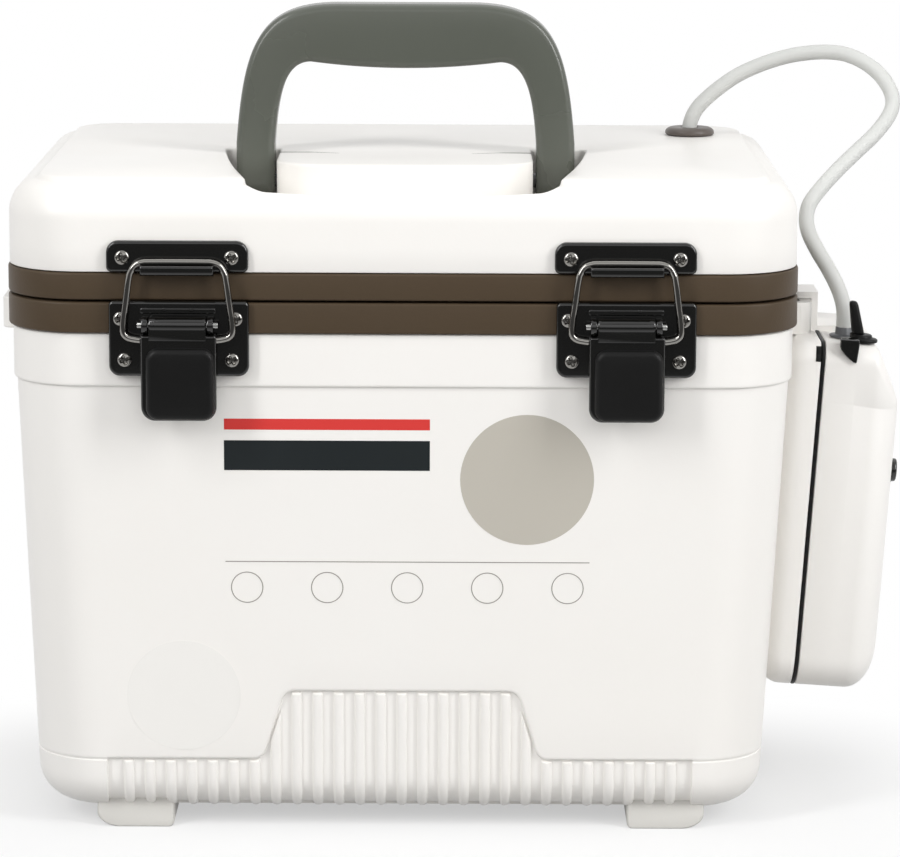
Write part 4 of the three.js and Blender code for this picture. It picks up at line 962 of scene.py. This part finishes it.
# %% Screw heads
cross_half, cross_wall, cross_reach, cross_end, cross_depth = 0.62, 0.2, 0.66, 0.35, 0.75
dome_height, dome_power = 1.3, 0.8


def screw_head(name, place, radius, turned_by):
    """A cross-headed pan screw facing the front: a dome whose middle is pressed in by a cross."""
    sides, steps = 48, 12
    points = []
    for step in range(steps + 1):
        reach = radius * math.sin(step / steps * math.pi / 2) if step else 0.001
        dome = dome_height * math.sqrt(max(1 - (reach / radius) ** 2, 0)) ** dome_power
        for angle in full_turn(sides):
            u, v = reach * math.cos(angle), reach * math.sin(angle)
            arm, end = min(abs(u), abs(v)), max(abs(u), abs(v))
            within_arm = max(0, min(1, (cross_half - arm) / cross_wall))
            press = within_arm * max(0, min(1, (radius * cross_reach - end) / cross_end))
            turned_u = u * math.cos(turned_by) - v * math.sin(turned_by)
            turned_v = u * math.sin(turned_by) + v * math.cos(turned_by)
            height = dome - press * dome_height * cross_depth
            points.append(Vector((turned_u, -height, turned_v)) * MM + place)
    rings = [points[step * sides:(step + 1) * sides] for step in range(steps + 1)]
    rings.append([Vector((point.x, place.y + 0.3 * MM, point.z)) for point in rings[-1]])
    return loft(name, rings, smooth_below=50)


# %% Sizes of a latch
latch_x = 83
base_front, catch_front = -108.0, -107.4
pivot_latch_y, pivot_latch_z = -111.5, 198.5
ear_x, ear_half, rod_radius = 12.15, 1.15, 3.2
lever_half, lever_bottom, lever_top = 14, 162.8, 194.9
barrel_half = 10.65
bail_y, bail_z, wire_radius = -110.6, 192.9, 1.28

# Each screw's place across and up, and how far it is turned
base_screws = ((-21.4, 200.3, 0.5), (21.3, 200.3, 0.2), (-20, 184.9, 0.35), (19.9, 184.9, 0.6))
catch_screws = ((-20.6, 223.1, 0.3), (19.8, 223.1, 0.55))
base_screw_radius, catch_screw_radius = 2.7, 2.8

# Seen from the side: depth, height and the corner's radius; then each end's place and inset
hook_profile = round_corners([
    (-105.4, 217.2, 0), (-105.4, 220.2, 0), (-112.2, 220.2, 0.4), (-112.7, 220.9, 0.4),
    (-114.5, 220.9, 0.8), (-114.5, 217.2, 1.4),
], 4)
hook_ends = ((-13.5, 0.5), (-13.3, 0.15), (-12.9, 0), (12.9, 0), (13.3, 0.15), (13.5, 0.5))

# Half of the bail seen from the front: place across, and height over its pivot
bail_half = [
    (11.85, 0), (15.2, 0), (19.075, 1.125), (20.2, 4.5), (19.0, 14.55), (17.9, 22.75),
    (17.1, 25.4), (15.5, 27.7), (12.9, 28.8), (9, 29),
]
bail_route = bail_half + [(-x, rise) for x, rise in reversed(bail_half)]
lever_outline = round_corners([
    (-lever_half, lever_top, 0.8), (-lever_half, lever_bottom, 5.2),
    (lever_half, lever_bottom, 5.2), (lever_half, lever_top, 0.8),
], 10)


# %% The two latches
def latch_on_tub(side, middle):
    ears, bumps = [middle - ear_x, middle + ear_x], [middle - 5, middle + 5]
    base = joined(f"latch_base_plate_{side}", [
        plate_rings(middle + 0.2, plate_corners(26, 178.7, 206.9, 4, 1.8), -105.8, base_front, 1.1, 7),
        plate_rings(middle + 0.2, plate_outline(25.4, 179, 194, 4.3), -104.2, -106.6, 0.1, 2),
        plate_rings(middle, plate_outline(14.2, 202.2, 204.6, 1.0, 4), -107, -108.7, 0.6, 4),
        *[plate_rings(x, plate_outline(0.8, 203.3, 204.6, 0.5, 3), -108, -109.3, 0.4, 3) for x in bumps],
        *[rod_rings(x, ear_half, pivot_latch_y, pivot_latch_z, rod_radius) for x in ears],
        *[plate_rings(x, plate_outline(ear_half, 195.6, 201.4, 0.3, 3), -107, -111.2, 0.3, 2) for x in ears],
    ])
    dressed(base, "black_plastic", f"latch_base_{side}", "tub")


def latch_on_lid(side, middle):
    hook = [[at(middle + x, y, z) for y, z in moved_out(hook_profile, inset)] for x, inset in hook_ends]
    catch = joined(f"latch_catch_plate_{side}", [
        plate_rings(middle - 0.3, plate_corners(26.3, 217.6, 229.3, 2, 4.5), -105.2, catch_front, 1.1, 7),
        hook,
    ])
    dressed(catch, "black_plastic", f"latch_catch_{side}", "lid")


def latch_lever(side, middle):
    lever_front = pivot_latch_y - 2.2
    lever = joined(f"latch_lever_arm_{side}", [
        plate_rings(middle + 0.35, lever_outline, pivot_latch_y, lever_front, 1.1, 7),
        plate_rings(
            middle, plate_outline(barrel_half, 193, 199, 0.3, 2), pivot_latch_y, pivot_latch_y - 2.9, 0.3, 2,
        ),
        rod_rings(middle, barrel_half, pivot_latch_y, pivot_latch_z, rod_radius, 0.7, 36),
        *[plate_rings(
            middle + x, plate_outline(0.9, 181.4, 194.8, 0.3, 2), -108.7, pivot_latch_y - 1, 0.2, 2,
        ) for x in (-13.1, 13.1)],
    ])
    dressed(lever, "black_plastic", f"latch_lever_{side}", f"lever_{side}")
    pad_front = pivot_latch_y - 5.9
    pad_outline, pad_middle = plate_outline(12.7, 163.5, 190.4, 4.6), middle + 1
    pad_rings = plate_rings(pad_middle, pad_outline, lever_front, pad_front + 0.35, 2.4, 8)
    pad_rings.append([at(pad_middle + x, pad_front, z) for x, z in plate_outline(8.2, 168, 185.5, 2.4)])
    pad = joined(f"latch_grip_pad_{side}", [pad_rings], smooth_below=60)
    dressed(pad, "black_rubber", f"latch_pad_{side}", f"lever_{side}")


def latch_metal(side, middle):
    """The wire bail, the pin and the screws; the bail and the screws are returned."""
    path = curve_through([at(middle + x, bail_y, bail_z + rise) for x, rise in bail_route], 8)
    bail = tube(f"latch_bail_wire_{side}", path, wire_radius * MM, 20)
    dressed(bail, "steel", f"latch_bail_{side}", f"bail_{side}")
    pin_rings = rod_rings(middle, 15, pivot_latch_y, pivot_latch_z, 1.25, 0.3, 20)
    dressed(joined(f"latch_pin_rod_{side}", [pin_rings]), "steel", f"latch_pin_{side}", "tub")
    screw_rows = [("base", "tub", base_front, base_screw_radius, *row) for row in base_screws]
    screw_rows += [("catch", "lid", catch_front, catch_screw_radius, *row) for row in catch_screws]
    screws = []
    for kind, body, y, radius, x, z, turned_by in screw_rows:
        name = f"latch_{kind}_screw_{side}_{len(screws) + 1}"
        screw = screw_head(name, at(middle + x, y, z), radius, turned_by)
        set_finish(screw, "steel")
        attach(screw, body)
        screws.append(screw)
    return [bail, *screws]


polished = []
for side, middle in (("left", -latch_x), ("right", latch_x)):
    latch_on_tub(side, middle)
    latch_on_lid(side, middle)
    latch_lever(side, middle)
    polished += latch_metal(side, middle)
print("polished pieces of the latches:", len(polished))

# %% [markdown]
# ## The air pump
#
# The pump is a rounded white case in two halves with a black rubber seal between them. It hangs
# on the strap lug by a strip, leans a little more than the tub's side, and carries on its top the
# hose barb and a rubber toggle, on its front corner a black catch, and on its outer face a knob.
# Everything is drawn upright first and then leaned, as one group would be. Each half is moulded,
# so it is a skin over outlines that shrink towards its closed end, and the outer half also slants
# off at the top.

# %% Pump places
pump_lean = math.radians(3.7)
pump_middle = (158.1, -4, 112.9)
case_half, case_rise = 44, 69.3
case_corner_top, case_corner_foot = 8, 14
flat_top, slant_end, slant_drop, slant_ease = 21.2, 32, 23, 2.2
seam_half, inner_end = 0.8, -13.4


def pump_at(x, y, z):
    """A place on the upright pump, measured from its seam's middle, set into the leaning pump."""
    return at(
        pump_middle[0] + x * math.cos(pump_lean) + z * math.sin(pump_lean),
        pump_middle[1] + y,
        pump_middle[2] - x * math.sin(pump_lean) + z * math.cos(pump_lean),
    )


def slanted(x):
    """How far the case's top has come down at a depth: flat, eased over, then one slope."""
    slope = slant_drop / (slant_end - flat_top)
    past = x - flat_top
    if past < -slant_ease:
        return 0
    if past > slant_ease:
        return slope * past
    return slope * (past + slant_ease) ** 2 / (4 * slant_ease)


# %% Pump outline
crease_height, crease_half, crease_depth, crease_from, crease_slope = 46, 0.35, 0.16, 13, 0.08


def case_ring(x, drawn=0, steps=9):
    """The case's outline at one depth, with a fine crease in its narrow sides."""
    half, foot = case_half - drawn, -case_rise + drawn
    top = case_rise - max(drawn if x < 0 else min(drawn, 1), slanted(x))
    top_radius = max(case_corner_top - drawn / 2, 4)
    foot_radius = max(case_corner_foot - drawn / 2, 5)
    corners = [(1, 1, top_radius), (-1, 1, top_radius), (-1, -1, foot_radius), (1, -1, foot_radius)]
    outline = []
    for quarter, (side, end, radius) in enumerate(corners):
        middle_y, middle_z = side * (half - radius), top - radius if end > 0 else foot + radius
        for step in range(steps + 1):
            angle = (quarter + step / steps) * math.pi / 2
            outline.append((middle_y + radius * math.cos(angle), middle_z + radius * math.sin(angle)))
    crease = [crease_half, 0, -crease_half]
    pressed = half - (crease_depth if x > crease_from else 0)
    level = min(crease_height - crease_slope * max(x - crease_from, 0), top - top_radius - 1)
    left = [(-half if rise else -pressed, level + rise) for rise in crease]
    right = [(half if rise else pressed, level + rise) for rise in reversed(crease)]
    split = 2 * (steps + 1)
    return [pump_at(x, y, z) for y, z in (*outline[:split], *left, *outline[split:], *right)]


def case_skin(name, seam, end, wall_ends, round_in, round_deep, node):
    """One half: a lip at the seam, a straight wall, a rounding, and a flat end."""
    direction = 1 if end > seam else -1
    rings = [case_ring(seam, 4), case_ring(seam, 0.5), case_ring(seam + direction * 0.15, 0.15)]
    rings += [case_ring(x) for x in (seam + direction * 0.5, *wall_ends)]
    for angle in quarter_turn(18):
        x = end - direction * round_deep * (1 - math.sin(angle))
        rings.append(case_ring(x, round_in * (1 - math.cos(angle))))
    middle = sum(rings[-1], Vector()) / len(rings[-1])
    rings.append([place.lerp(middle, 0.06) for place in rings[-1]])
    return dressed(loft(name, rings, smooth_below=50, weld=True), "white_plastic", node, "tub")


# %% Pump case halves and seal
outer_wall = (crease_from, crease_from + crease_half)
inner_wall = (-seam_half - 2, -seam_half - 3)
pump_front = case_skin("pump_case_outer_half", seam_half, slant_end, outer_wall, 16, 12, "pump_front_case")
pump_back = case_skin("pump_case_inner_half", -seam_half, inner_end, inner_wall, 8, 8, "pump_back_case")
seal_half = ((0.2, -0.1), (0.45, -0.05), (0.6, 0.1), (0.6, 3.2))
seal_profile = [(-x, inset) for x, inset in reversed(seal_half)] + [*seal_half]
pump_seal = hoop("pump_case_seal", [case_ring(x, inset) for x, inset in seal_profile])
dressed(pump_seal, "black_rubber", "pump_gasket", "tub")
print("pump case:", pump_front.name, pump_back.name, pump_seal.name)

# %% [markdown]
# The catch that keeps the case shut is a black thumb piece at the front corner: flat in front,
# round behind, and cut away below to a point. The seal ends beside it in a short tab. Both are
# skins over level outlines, from the point upwards.

# %% Pump catch and seal tab
catch_x, catch_half, catch_front_y, catch_deep, catch_cut = 9.6, 3.7, -45.5, 6.8, 0.3
corner_y, corner_z = case_corner_top - case_half, case_rise - case_corner_top


def corner_reach(z):
    """How far the case's rounded top corner stands out from the corner's middle at a height."""
    return math.sqrt(max(case_corner_top ** 2 - max(z - corner_z, 0) ** 2, 0))


def catch_ring(z, shrink=0, steps=12):
    """The catch's outline at one height; below the case's top its back follows the case."""
    fall = max(0, 69 - z) / 6
    left = -catch_half + 5.6 * fall ** 1.6 + shrink
    right = catch_half - shrink - 0.5 * fall
    back = corner_y - corner_reach(z) + 0.3 if z < case_rise else catch_front_y + catch_deep
    front = catch_front_y + shrink
    outline = [(left + catch_cut, front), (right - catch_cut, front), (right, front + catch_cut)]
    for step in range(steps + 1):
        x = right + (left - right) * step / steps
        bulge = math.sqrt(max(1 - (x / (catch_half + 0.2)) ** 2, 0.02))
        round_back = front + (catch_deep - 2 * shrink) * bulge
        outline.append((x, max(min(round_back, back), front + 0.4)))
    outline.append((left, front + catch_cut))
    return [pump_at(catch_x + x, y, z) for x, y in outline]


catch_levels = [(z, 0) for z in (63, 64, 65, 66, 67, 68, 69, 69.6, 71)]
catch_levels = [(62.8, 0.2), *catch_levels, (71.6, 0.1), (71.9, 0.5)]
catch_rings = [catch_ring(z, shrink) for z, shrink in catch_levels]
pump_catch = loft("pump_case_catch", catch_rings, smooth_below=35, weld=True)
dressed(pump_catch, "black_plastic", "pump_case_latch", "tub")
tab_outline = [(-2.9, 0.8), (-2.9, -0.2), (-2.7, -0.4), (-0.9, -0.4), (-0.9, 0.8)]
tab_levels = [(62.2, 0.25), *((z, 0) for z in (62.4, 63.5, 64.5, 65.5, 66.5, 67.5)), (67.8, 0.25)]
tab_rings = [
    [pump_at(x, corner_y - corner_reach(z) + y + drawn, z) for x, y in tab_outline] for z, drawn in tab_levels
]
seal_tab = loft("pump_seal_tab", tab_rings, weld=True)
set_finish(seal_tab, "black_rubber")
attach(seal_tab, "tub")
print("catch:", pump_catch.name, "tab:", seal_tab.name)

# %% [markdown]
# ## Turned parts
#
# The grommet, the barb, the toggle's seat and the knob are all round, so each is one profile of
# radius and height turned about its axis. The toggle's finger is a taper that leans over, made
# from shrinking outlines.

# %% Turned parts
def turned(name, profile, placer, sides=40):
    """A part turned round an axis; the profile gives radius and height, the placer sets it in place."""
    rings = [
        [placer(radius * math.cos(a), radius * math.sin(a), height) for a in full_turn(sides)]
        for radius, height in profile
    ]
    return loft(name, rings, smooth_below=45, weld=True)


grommet_x, grommet_y = 115.5, 58
grommet = turned("lid_hose_grommet", [
    (4.9, 200), (5, 251.4), (9.6, 251.4), (10, 251.8), (10, 252.6), (9.7, 253.3), (9.0, 253.9), (8.1, 254.3),
    (7, 254.4), (4.2, 254.4), (3.6, 254.2), (3.4, 253.8), (3.4, 249), (0.5, 249),
], lambda x, y, z: at(grommet_x + x, grommet_y + y, z))
dressed(grommet, "grey_rubber", "lid_grommet", "lid")

case_top = case_rise + 0.3
barb_x, barb_y = 8.9, -24.5
barb = turned("pump_barb_collar", [
    (2.2, -2.8), (2.2, 0), (5.3, 0), (5.5, 0.2), (5.4, 0.6), (4.9, 0.9), (3.5, 1.1), (3.2, 1.5), (3.2, 3.7),
    (2.9, 4), (0.5, 4),
], lambda x, y, z: pump_at(barb_x + x, barb_y + y, case_top + z))
dressed(barb, "barb_plastic", "pump_hose_barb", "tub")

knob_x, knob_y, knob_z = slant_end + 0.3, -16, 16.4
knob = turned("pump_knob_head", [
    (4.7, 0), (4.9, 0.25), (4.9, 1.3), (4.6, 1.5), (4.6, 2.2), (4.5, 2.7), (4.1, 3.0), (3.4, 3.1), (0.5, 3.0),
], lambda x, y, z: pump_at(knob_x + z, knob_y - x, knob_z + y))
dressed(knob, "black_plastic", "pump_knob", "knob")
print("turned parts:", grommet.name, barb.name, knob.name)

# %% The toggle's seat and finger
seat_x, seat_y, seat_radius, socket_x, socket_radius = 15.9, -33.5, 5.5, -2.5, 2.7
finger_height, finger_lean, finger_foot = 11.9, -2.7, 3.8


def seat_ring(radius, z, sides=40):
    """A circle of the seat; small ones slide over to where the finger's socket is."""
    share = max(0, min(1, (seat_radius - radius) / (seat_radius - socket_radius)))
    middle_x = seat_x + socket_x * share
    return [
        pump_at(middle_x + radius * math.cos(a), seat_y + radius * math.sin(a), case_top + z)
        for a in full_turn(sides)
    ]


seat_profile = [
    (2.7, 0), (5.3, 0), (5.5, 0.25), (5.5, 1.1), (5.3, 1.4), (4.7, 1.6), (4.4, 1.8), (4.3, 2.6), (4.1, 2.9),
    (3.6, 3), (2.9, 3), (2.7, 2.8), (2.7, 1.2),
]
seat_rings = [seat_ring(radius, z) for radius, z in seat_profile]
toggle_seat = loft("pump_toggle_boot", seat_rings, smooth_below=45, weld=True)
dressed(toggle_seat, "black_rubber", "pump_toggle_seat", "tub")

finger_profile = [
    (-2.3, 0.5), (-1.9, 1.4), (-1.1, 2.1), (0, 2.35), (4, 2.15), (8, 1.9), (10.4, 1.72), (11.3, 1.5),
    (11.7, 1.15), (11.9, 0.6),
]
finger_rings = []
for rise, half in finger_profile:
    middle_x = seat_x + socket_x + finger_lean * max(rise, 0) / finger_height
    outline = rounded_outline(half, half * 1.15, half * 0.7, 5)
    z = case_top + finger_foot + rise
    finger_rings.append([pump_at(middle_x + x, seat_y + y, z) for x, y in outline])
toggle = loft("pump_toggle_finger", finger_rings, smooth_below=60, weld=True)
dressed(toggle, "black_rubber", "pump_toggle", "toggle")
print("toggle:", toggle_seat.name, toggle.name)

# %% [markdown]
# ## Finishes
#
# Two effects are shared by all finishes, so each is a node group: the very fine grain of a
# moulded surface, and a slow drift of tone that keeps a wide surface from looking like paint.

# %% Node helpers
def feed(tree, node, inputs):
    """Set a node's inputs, each to a value or to the socket that feeds it."""
    for key, value in inputs.items():
        if isinstance(value, bpy.types.NodeSocket):
            tree.links.new(value, node.inputs[key])
        else:
            node.inputs[key].default_value = value


def add_node(tree, kind, inputs, **settings):
    node = tree.nodes.new(kind)
    for label, value in settings.items():
        setattr(node, label, value)
    feed(tree, node, inputs)
    return node


def new_group(name, inputs, outputs):
    group = bpy.data.node_groups.new(name, "ShaderNodeTree")
    for label, kind in inputs.items():
        group.interface.new_socket(name=label, in_out="INPUT", socket_type=kind)
    for label, kind in outputs.items():
        group.interface.new_socket(name=label, in_out="OUTPUT", socket_type=kind)
    return group, group.nodes.new("NodeGroupInput").outputs, group.nodes.new("NodeGroupOutput")


# %% Shared groups
number, colour, place = "NodeSocketFloat", "NodeSocketColor", "NodeSocketVector"
grain_group, given, grain_out = new_group(
    "moulded_grain", {"Place": place, "Scale": number, "Smoothest": number, "Roughest": number},
    {"Height": number, "Roughness": number},
)
fine = add_node(grain_group, "ShaderNodeTexNoise", {
    "Vector": given["Place"], "Scale": given["Scale"], "Detail": 3,
})
broad = add_node(grain_group, "ShaderNodeTexNoise", {"Vector": given["Place"], "Scale": 22, "Detail": 4})
polish = add_node(grain_group, "ShaderNodeMapRange", {
    "Value": broad.outputs[0], "From Min": 0.3, "From Max": 0.7,
    "To Min": given["Smoothest"], "To Max": given["Roughest"],
})
feed(grain_group, grain_out, {"Height": fine.outputs[0], "Roughness": polish.outputs[0]})

drift_group, given, drift_out = new_group(
    "tone_drift", {"Place": place, "Scale": number, "Main": colour, "Drifted": colour}, {"Colour": colour},
)
drift = add_node(drift_group, "ShaderNodeTexNoise", {
    "Vector": given["Place"], "Scale": given["Scale"], "Detail": 5,
})
drift_mix = add_node(drift_group, "ShaderNodeMix", {
    "Factor": drift.outputs[0], "A": given["Main"], "B": given["Drifted"],
}, data_type="RGBA")
feed(drift_group, drift_out, {"Colour": drift_mix.outputs["Result"]})
print("groups:", grain_group.name, drift_group.name)


# %% Finish helper
def srgb(tone):
    """A colour as read from a photograph, in the linear values that a shader takes."""
    shares = [value / 255 for value in tone]
    return (*(s / 12.92 if s <= 0.04045 else ((s + 0.055) / 1.055) ** 2.4 for s in shares), 1)


finishes = {}


def finish(name, tone, drifted, roughness, grain, specular=0.5, metallic=0, drift_scale=8):
    """A material from two tones, its least and greatest roughness, and its grain's scale and depth."""
    material = bpy.data.materials.new(name)
    material.use_nodes = True
    tree = material.node_tree
    spot = add_node(tree, "ShaderNodeTexCoord", {}).outputs["Object"]
    drifting = add_node(tree, "ShaderNodeGroup", {}, node_tree=drift_group)
    feed(tree, drifting, {"Place": spot, "Scale": drift_scale, "Main": srgb(tone), "Drifted": srgb(drifted)})
    skin = add_node(tree, "ShaderNodeGroup", {}, node_tree=grain_group)
    feed(tree, skin, {"Place": spot, "Scale": grain[0], "Smoothest": roughness[0], "Roughest": roughness[1]})
    bump = add_node(tree, "ShaderNodeBump", {
        "Strength": 1, "Distance": grain[1] * MM, "Height": skin.outputs["Height"],
    })
    feed(tree, tree.nodes["Principled BSDF"], {
        "Base Color": drifting.outputs["Colour"], "Roughness": skin.outputs["Roughness"],
        "Normal": bump.outputs["Normal"], "Specular IOR Level": specular, "Metallic": metallic,
    })
    finishes[name] = material


# %% Finishes
finish("white_plastic", (241, 239, 236), (237, 234, 229), (0.28, 0.4), (700, 0.02))
# painted shade: the feet are the tub's white plastic, darker here for the shadow under the tub
finish("foot_painted_shade", (205, 203, 198), (198, 196, 191), (0.4, 0.5), (500, 0.02))
finish("liner_plastic", (243, 242, 239), (237, 236, 232), (0.35, 0.45), (500, 0.03))
finish("rigid_foam", (232, 223, 196), (222, 212, 182), (0.85, 0.95), (260, 0.3))
finish("brown_rubber", (76, 63, 48), (70, 58, 44), (0.42, 0.55), (900, 0.05), specular=0.2)
finish("handle_plastic", (88, 91, 83), (82, 85, 78), (0.2, 0.3), (600, 0.02))
finish("black_plastic", (16, 16, 15), (13, 13, 12), (0.08, 0.14), (800, 0.01), specular=0.7)
finish("black_rubber", (16, 16, 16), (13, 13, 13), (0.38, 0.5), (900, 0.05), specular=0.2)
finish("grommet_rubber", (88, 80, 74), (80, 73, 68), (0.3, 0.42), (800, 0.04))
finish("barb_plastic", (110, 112, 115), (102, 104, 107), (0.35, 0.45), (700, 0.03))
finish("polished_wire", (150, 148, 144), (138, 136, 132), (0.05, 0.09), (300, 0.01), metallic=1)
finish("steel_pin", (170, 170, 168), (155, 155, 153), (0.2, 0.3), (500, 0.02), metallic=1)
finish("motor_steel", (138, 140, 142), (125, 127, 129), (0.3, 0.42), (700, 0.03), metallic=1)
finish("cell_jacket", (58, 90, 134), (50, 80, 122), (0.3, 0.4), (400, 0.02))
finish("stone_grit", (143, 152, 163), (120, 130, 142), (0.9, 1.0), (900, 0.5), drift_scale=600)
finish("hose_vinyl", (208, 209, 206), (201, 202, 199), (0.45, 0.55), (60, 0.001), specular=0.25)
finish("label_taupe", (190, 185, 174), (182, 177, 167), (0.3, 0.4), (500, 0.01))
finish("label_dark", (28, 34, 36), (24, 29, 31), (0.35, 0.45), (500, 0.01), specular=0.25)
finish("label_red", (214, 60, 56), (206, 54, 50), (0.35, 0.45), (500, 0.01), specular=0.3)
finish("label_line", (150, 145, 138), (140, 135, 128), (0.35, 0.45), (500, 0.01))
finish("label_clear", (238, 236, 232), (235, 233, 229), (0.2, 0.26), (500, 0.005))
finish("gap_shade", (120, 118, 112), (112, 110, 104), (0.6, 0.7), (500, 0.01), specular=0.1)
print("finishes:", len(finishes))

# %% [markdown]
# A solid's slot names its finish, and so does a finer piece's. Four slots go by another name, and
# the films, the feet, the latches' polished metal and the handle's pins have finishes of their own.

# %% Every piece gets its finish
other_names = {
    "foam": "rigid_foam", "grey_rubber": "grommet_rubber", "steel": "steel_pin", "stone_grain": "stone_grit",
}
node_slot = {part["node"]: part["material_slot"] for part in frame["record"]["subparts"]}


def coat(piece, name):
    piece.data.materials.clear()
    piece.data.materials.append(finishes[other_names.get(name, name)])


for name, piece in frame["nodes"].items():
    coat(piece, node_slot[name])
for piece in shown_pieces():
    if piece.name not in frame["nodes"] and piece.type == "MESH":
        coat(piece, own_finish.get(piece.name) or piece["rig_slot"])
for piece in polished:
    coat(piece, "polished_wire")
for side_name in ("left", "right"):
    coat(frame["nodes"][f"handle_pin_{side_name}"], "black_plastic")

# %% Eased edges on the solids that stay
for piece in frame["nodes"].values():
    if not piece.hide_render:
        ease_edges(piece, even_shading=True)

# %% [markdown]
# ## Studio
#
# A plain pale floor and soft lamps. The floor and the world show white to the camera, in
# reflections and through clear things by Light Path, so that no extra light falls on the object.
# Round the object the floor keeps its soft shadow, and it turns plain white a little way off. Well
# in front of the object both are dim for mirror rays, as a studio is behind its camera: glossy
# black parts stay black in front and catch their light on the edges.

# %% Studio helpers
def math_node(tree, operation, first, second=None):
    inputs = {0: first} if second is None else {0: first, 1: second}
    return add_node(tree, "ShaderNodeMath", inputs, operation=operation).outputs[0]


def seen_rays(tree):
    """One where the ray is a camera, mirror or see-through ray, and nothing for the light itself."""
    path = add_node(tree, "ShaderNodeLightPath", {}).outputs
    mirrored_or_direct = math_node(tree, "MAXIMUM", path["Is Camera Ray"], path["Is Glossy Ray"])
    return math_node(tree, "MAXIMUM", mirrored_or_direct, path["Is Transmission Ray"])


dim_strength = 0.12


def dim_ahead(tree, along_y, dimmest, brightest, interpolation="LINEAR"):
    """A strength that falls off towards the front for mirror rays, and is one for the camera's own."""
    falling = add_node(tree, "ShaderNodeMapRange", {
        "Value": along_y, "From Min": dimmest, "From Max": brightest, "To Min": dim_strength,
    }, interpolation_type=interpolation)
    path = add_node(tree, "ShaderNodeLightPath", {}).outputs
    return math_node(tree, "MAXIMUM", falling.outputs["Result"], path["Is Camera Ray"])


# %% Floor
floor_reach, floor_tone, floor_glow = 9, 0.42, 0.5
floor_corners = [(-1, -1, 0), (1, -1, 0), (1, 1, 0), (-1, 1, 0)]
floor = mesh_piece("studio_floor", [Vector(corner) * floor_reach for corner in floor_corners], [(0, 1, 2, 3)])
floor_material = bpy.data.materials.new("floor_white")
floor_material.use_nodes = True
tree = floor_material.node_tree
tree.nodes.clear()
near = add_node(tree, "ShaderNodeBsdfDiffuse", {"Color": (floor_tone, floor_tone, floor_tone, 1)})
glow = add_node(tree, "ShaderNodeEmission", {"Strength": floor_glow})
nothing = add_node(tree, "ShaderNodeEmission", {"Strength": 0})
seen = seen_rays(tree)
glow_when_seen = add_node(tree, "ShaderNodeMixShader", {0: seen, 1: nothing.outputs[0], 2: glow.outputs[0]})
shadowed = add_node(tree, "ShaderNodeAddShader", {0: near.outputs[0], 1: glow_when_seen.outputs[0]})
print("floor glow:", floor_glow)

# %% Where the floor turns plain white
shadow_middle, shadow_half_x, shadow_half_y = at(8, -60, 0), 0.14, 0.06
fade_from, fade_to = 0.01, 0.11
spot = add_node(tree, "ShaderNodeNewGeometry", {}).outputs["Position"]
parts = add_node(tree, "ShaderNodeSeparateXYZ", {0: spot}).outputs
far = add_node(tree, "ShaderNodeEmission", {"Strength": dim_ahead(tree, parts["Y"], -0.8, -0.25)})


def squared_past(along, middle, half):
    """The square of how far a place is past the shadow's edge, along one axis."""
    away = math_node(tree, "ABSOLUTE", math_node(tree, "SUBTRACT", along, middle))
    past = math_node(tree, "MAXIMUM", math_node(tree, "SUBTRACT", away, half), 0)
    return math_node(tree, "MULTIPLY", past, past)


past_x = squared_past(parts["X"], shadow_middle.x, shadow_half_x)
past_y = squared_past(parts["Y"], shadow_middle.y, shadow_half_y)
distance = math_node(tree, "SQRT", math_node(tree, "ADD", past_x, past_y))
fade = add_node(
    tree, "ShaderNodeMapRange", {"Value": distance, "From Min": fade_from, "From Max": fade_to},
    interpolation_type="SMOOTHSTEP",
)
white_share = math_node(tree, "MULTIPLY", fade.outputs["Result"], seen)
shown = add_node(tree, "ShaderNodeMixShader", {0: white_share, 1: shadowed.outputs[0], 2: far.outputs[0]})
add_node(tree, "ShaderNodeOutputMaterial", {"Surface": shown.outputs[0]})
floor.data.materials.append(floor_material)
print("floor shadow round", [round(value, 3) for value in shadow_middle])

# %% World
world_light, white = 0.45, (1, 1, 1, 1)
world = bpy.data.worlds.new("studio")
bpy.context.scene.world = world
world.use_nodes = True
tree = world.node_tree
fill = tree.nodes["Background"]
feed(tree, fill, {"Color": white, "Strength": world_light})
looking = add_node(tree, "ShaderNodeTexCoord", {}).outputs["Generated"]
parts = add_node(tree, "ShaderNodeSeparateXYZ", {0: looking}).outputs
shown = add_node(tree, "ShaderNodeBackground", {
    "Color": white, "Strength": dim_ahead(tree, parts["Y"], -0.9, -0.35, "SMOOTHSTEP"),
})
choose = add_node(tree, "ShaderNodeMixShader", {0: seen_rays(tree), 1: fill.outputs[0], 2: shown.outputs[0]})
feed(tree, tree.nodes["World Output"], {"Surface": choose.outputs[0]})
print("world light:", world_light)


# %% Lamps
def area_lamp(name, place, aim, size, power):
    """A soft rectangular lamp; its size is in metres and its power in watts."""
    data = bpy.data.lights.new(name, "AREA")
    data.shape = "RECTANGLE"
    data.size, data.size_y = size
    data.energy = power
    lamp = link(name, data)
    lamp.location = place
    lamp.rotation_euler = (aim - place).to_track_quat("-Z", "Y").to_euler()


aim = at(15, 0, 140)
area_lamp("top_lamp", at(0, 500, 1500), aim, (1.3, 0.8), 2.2)
area_lamp("front_lamp", at(0, -1800, 1000), aim, (2.2, 1.2), 8.5)
area_lamp("front_left_lamp", at(-1300, -1200, 1300), aim, (0.35, 1.4), 18.5)
area_lamp("front_right_lamp", at(1500, -1000, 1100), aim, (0.5, 1.4), 23)
print("lamps placed round", [round(value, 3) for value in aim])
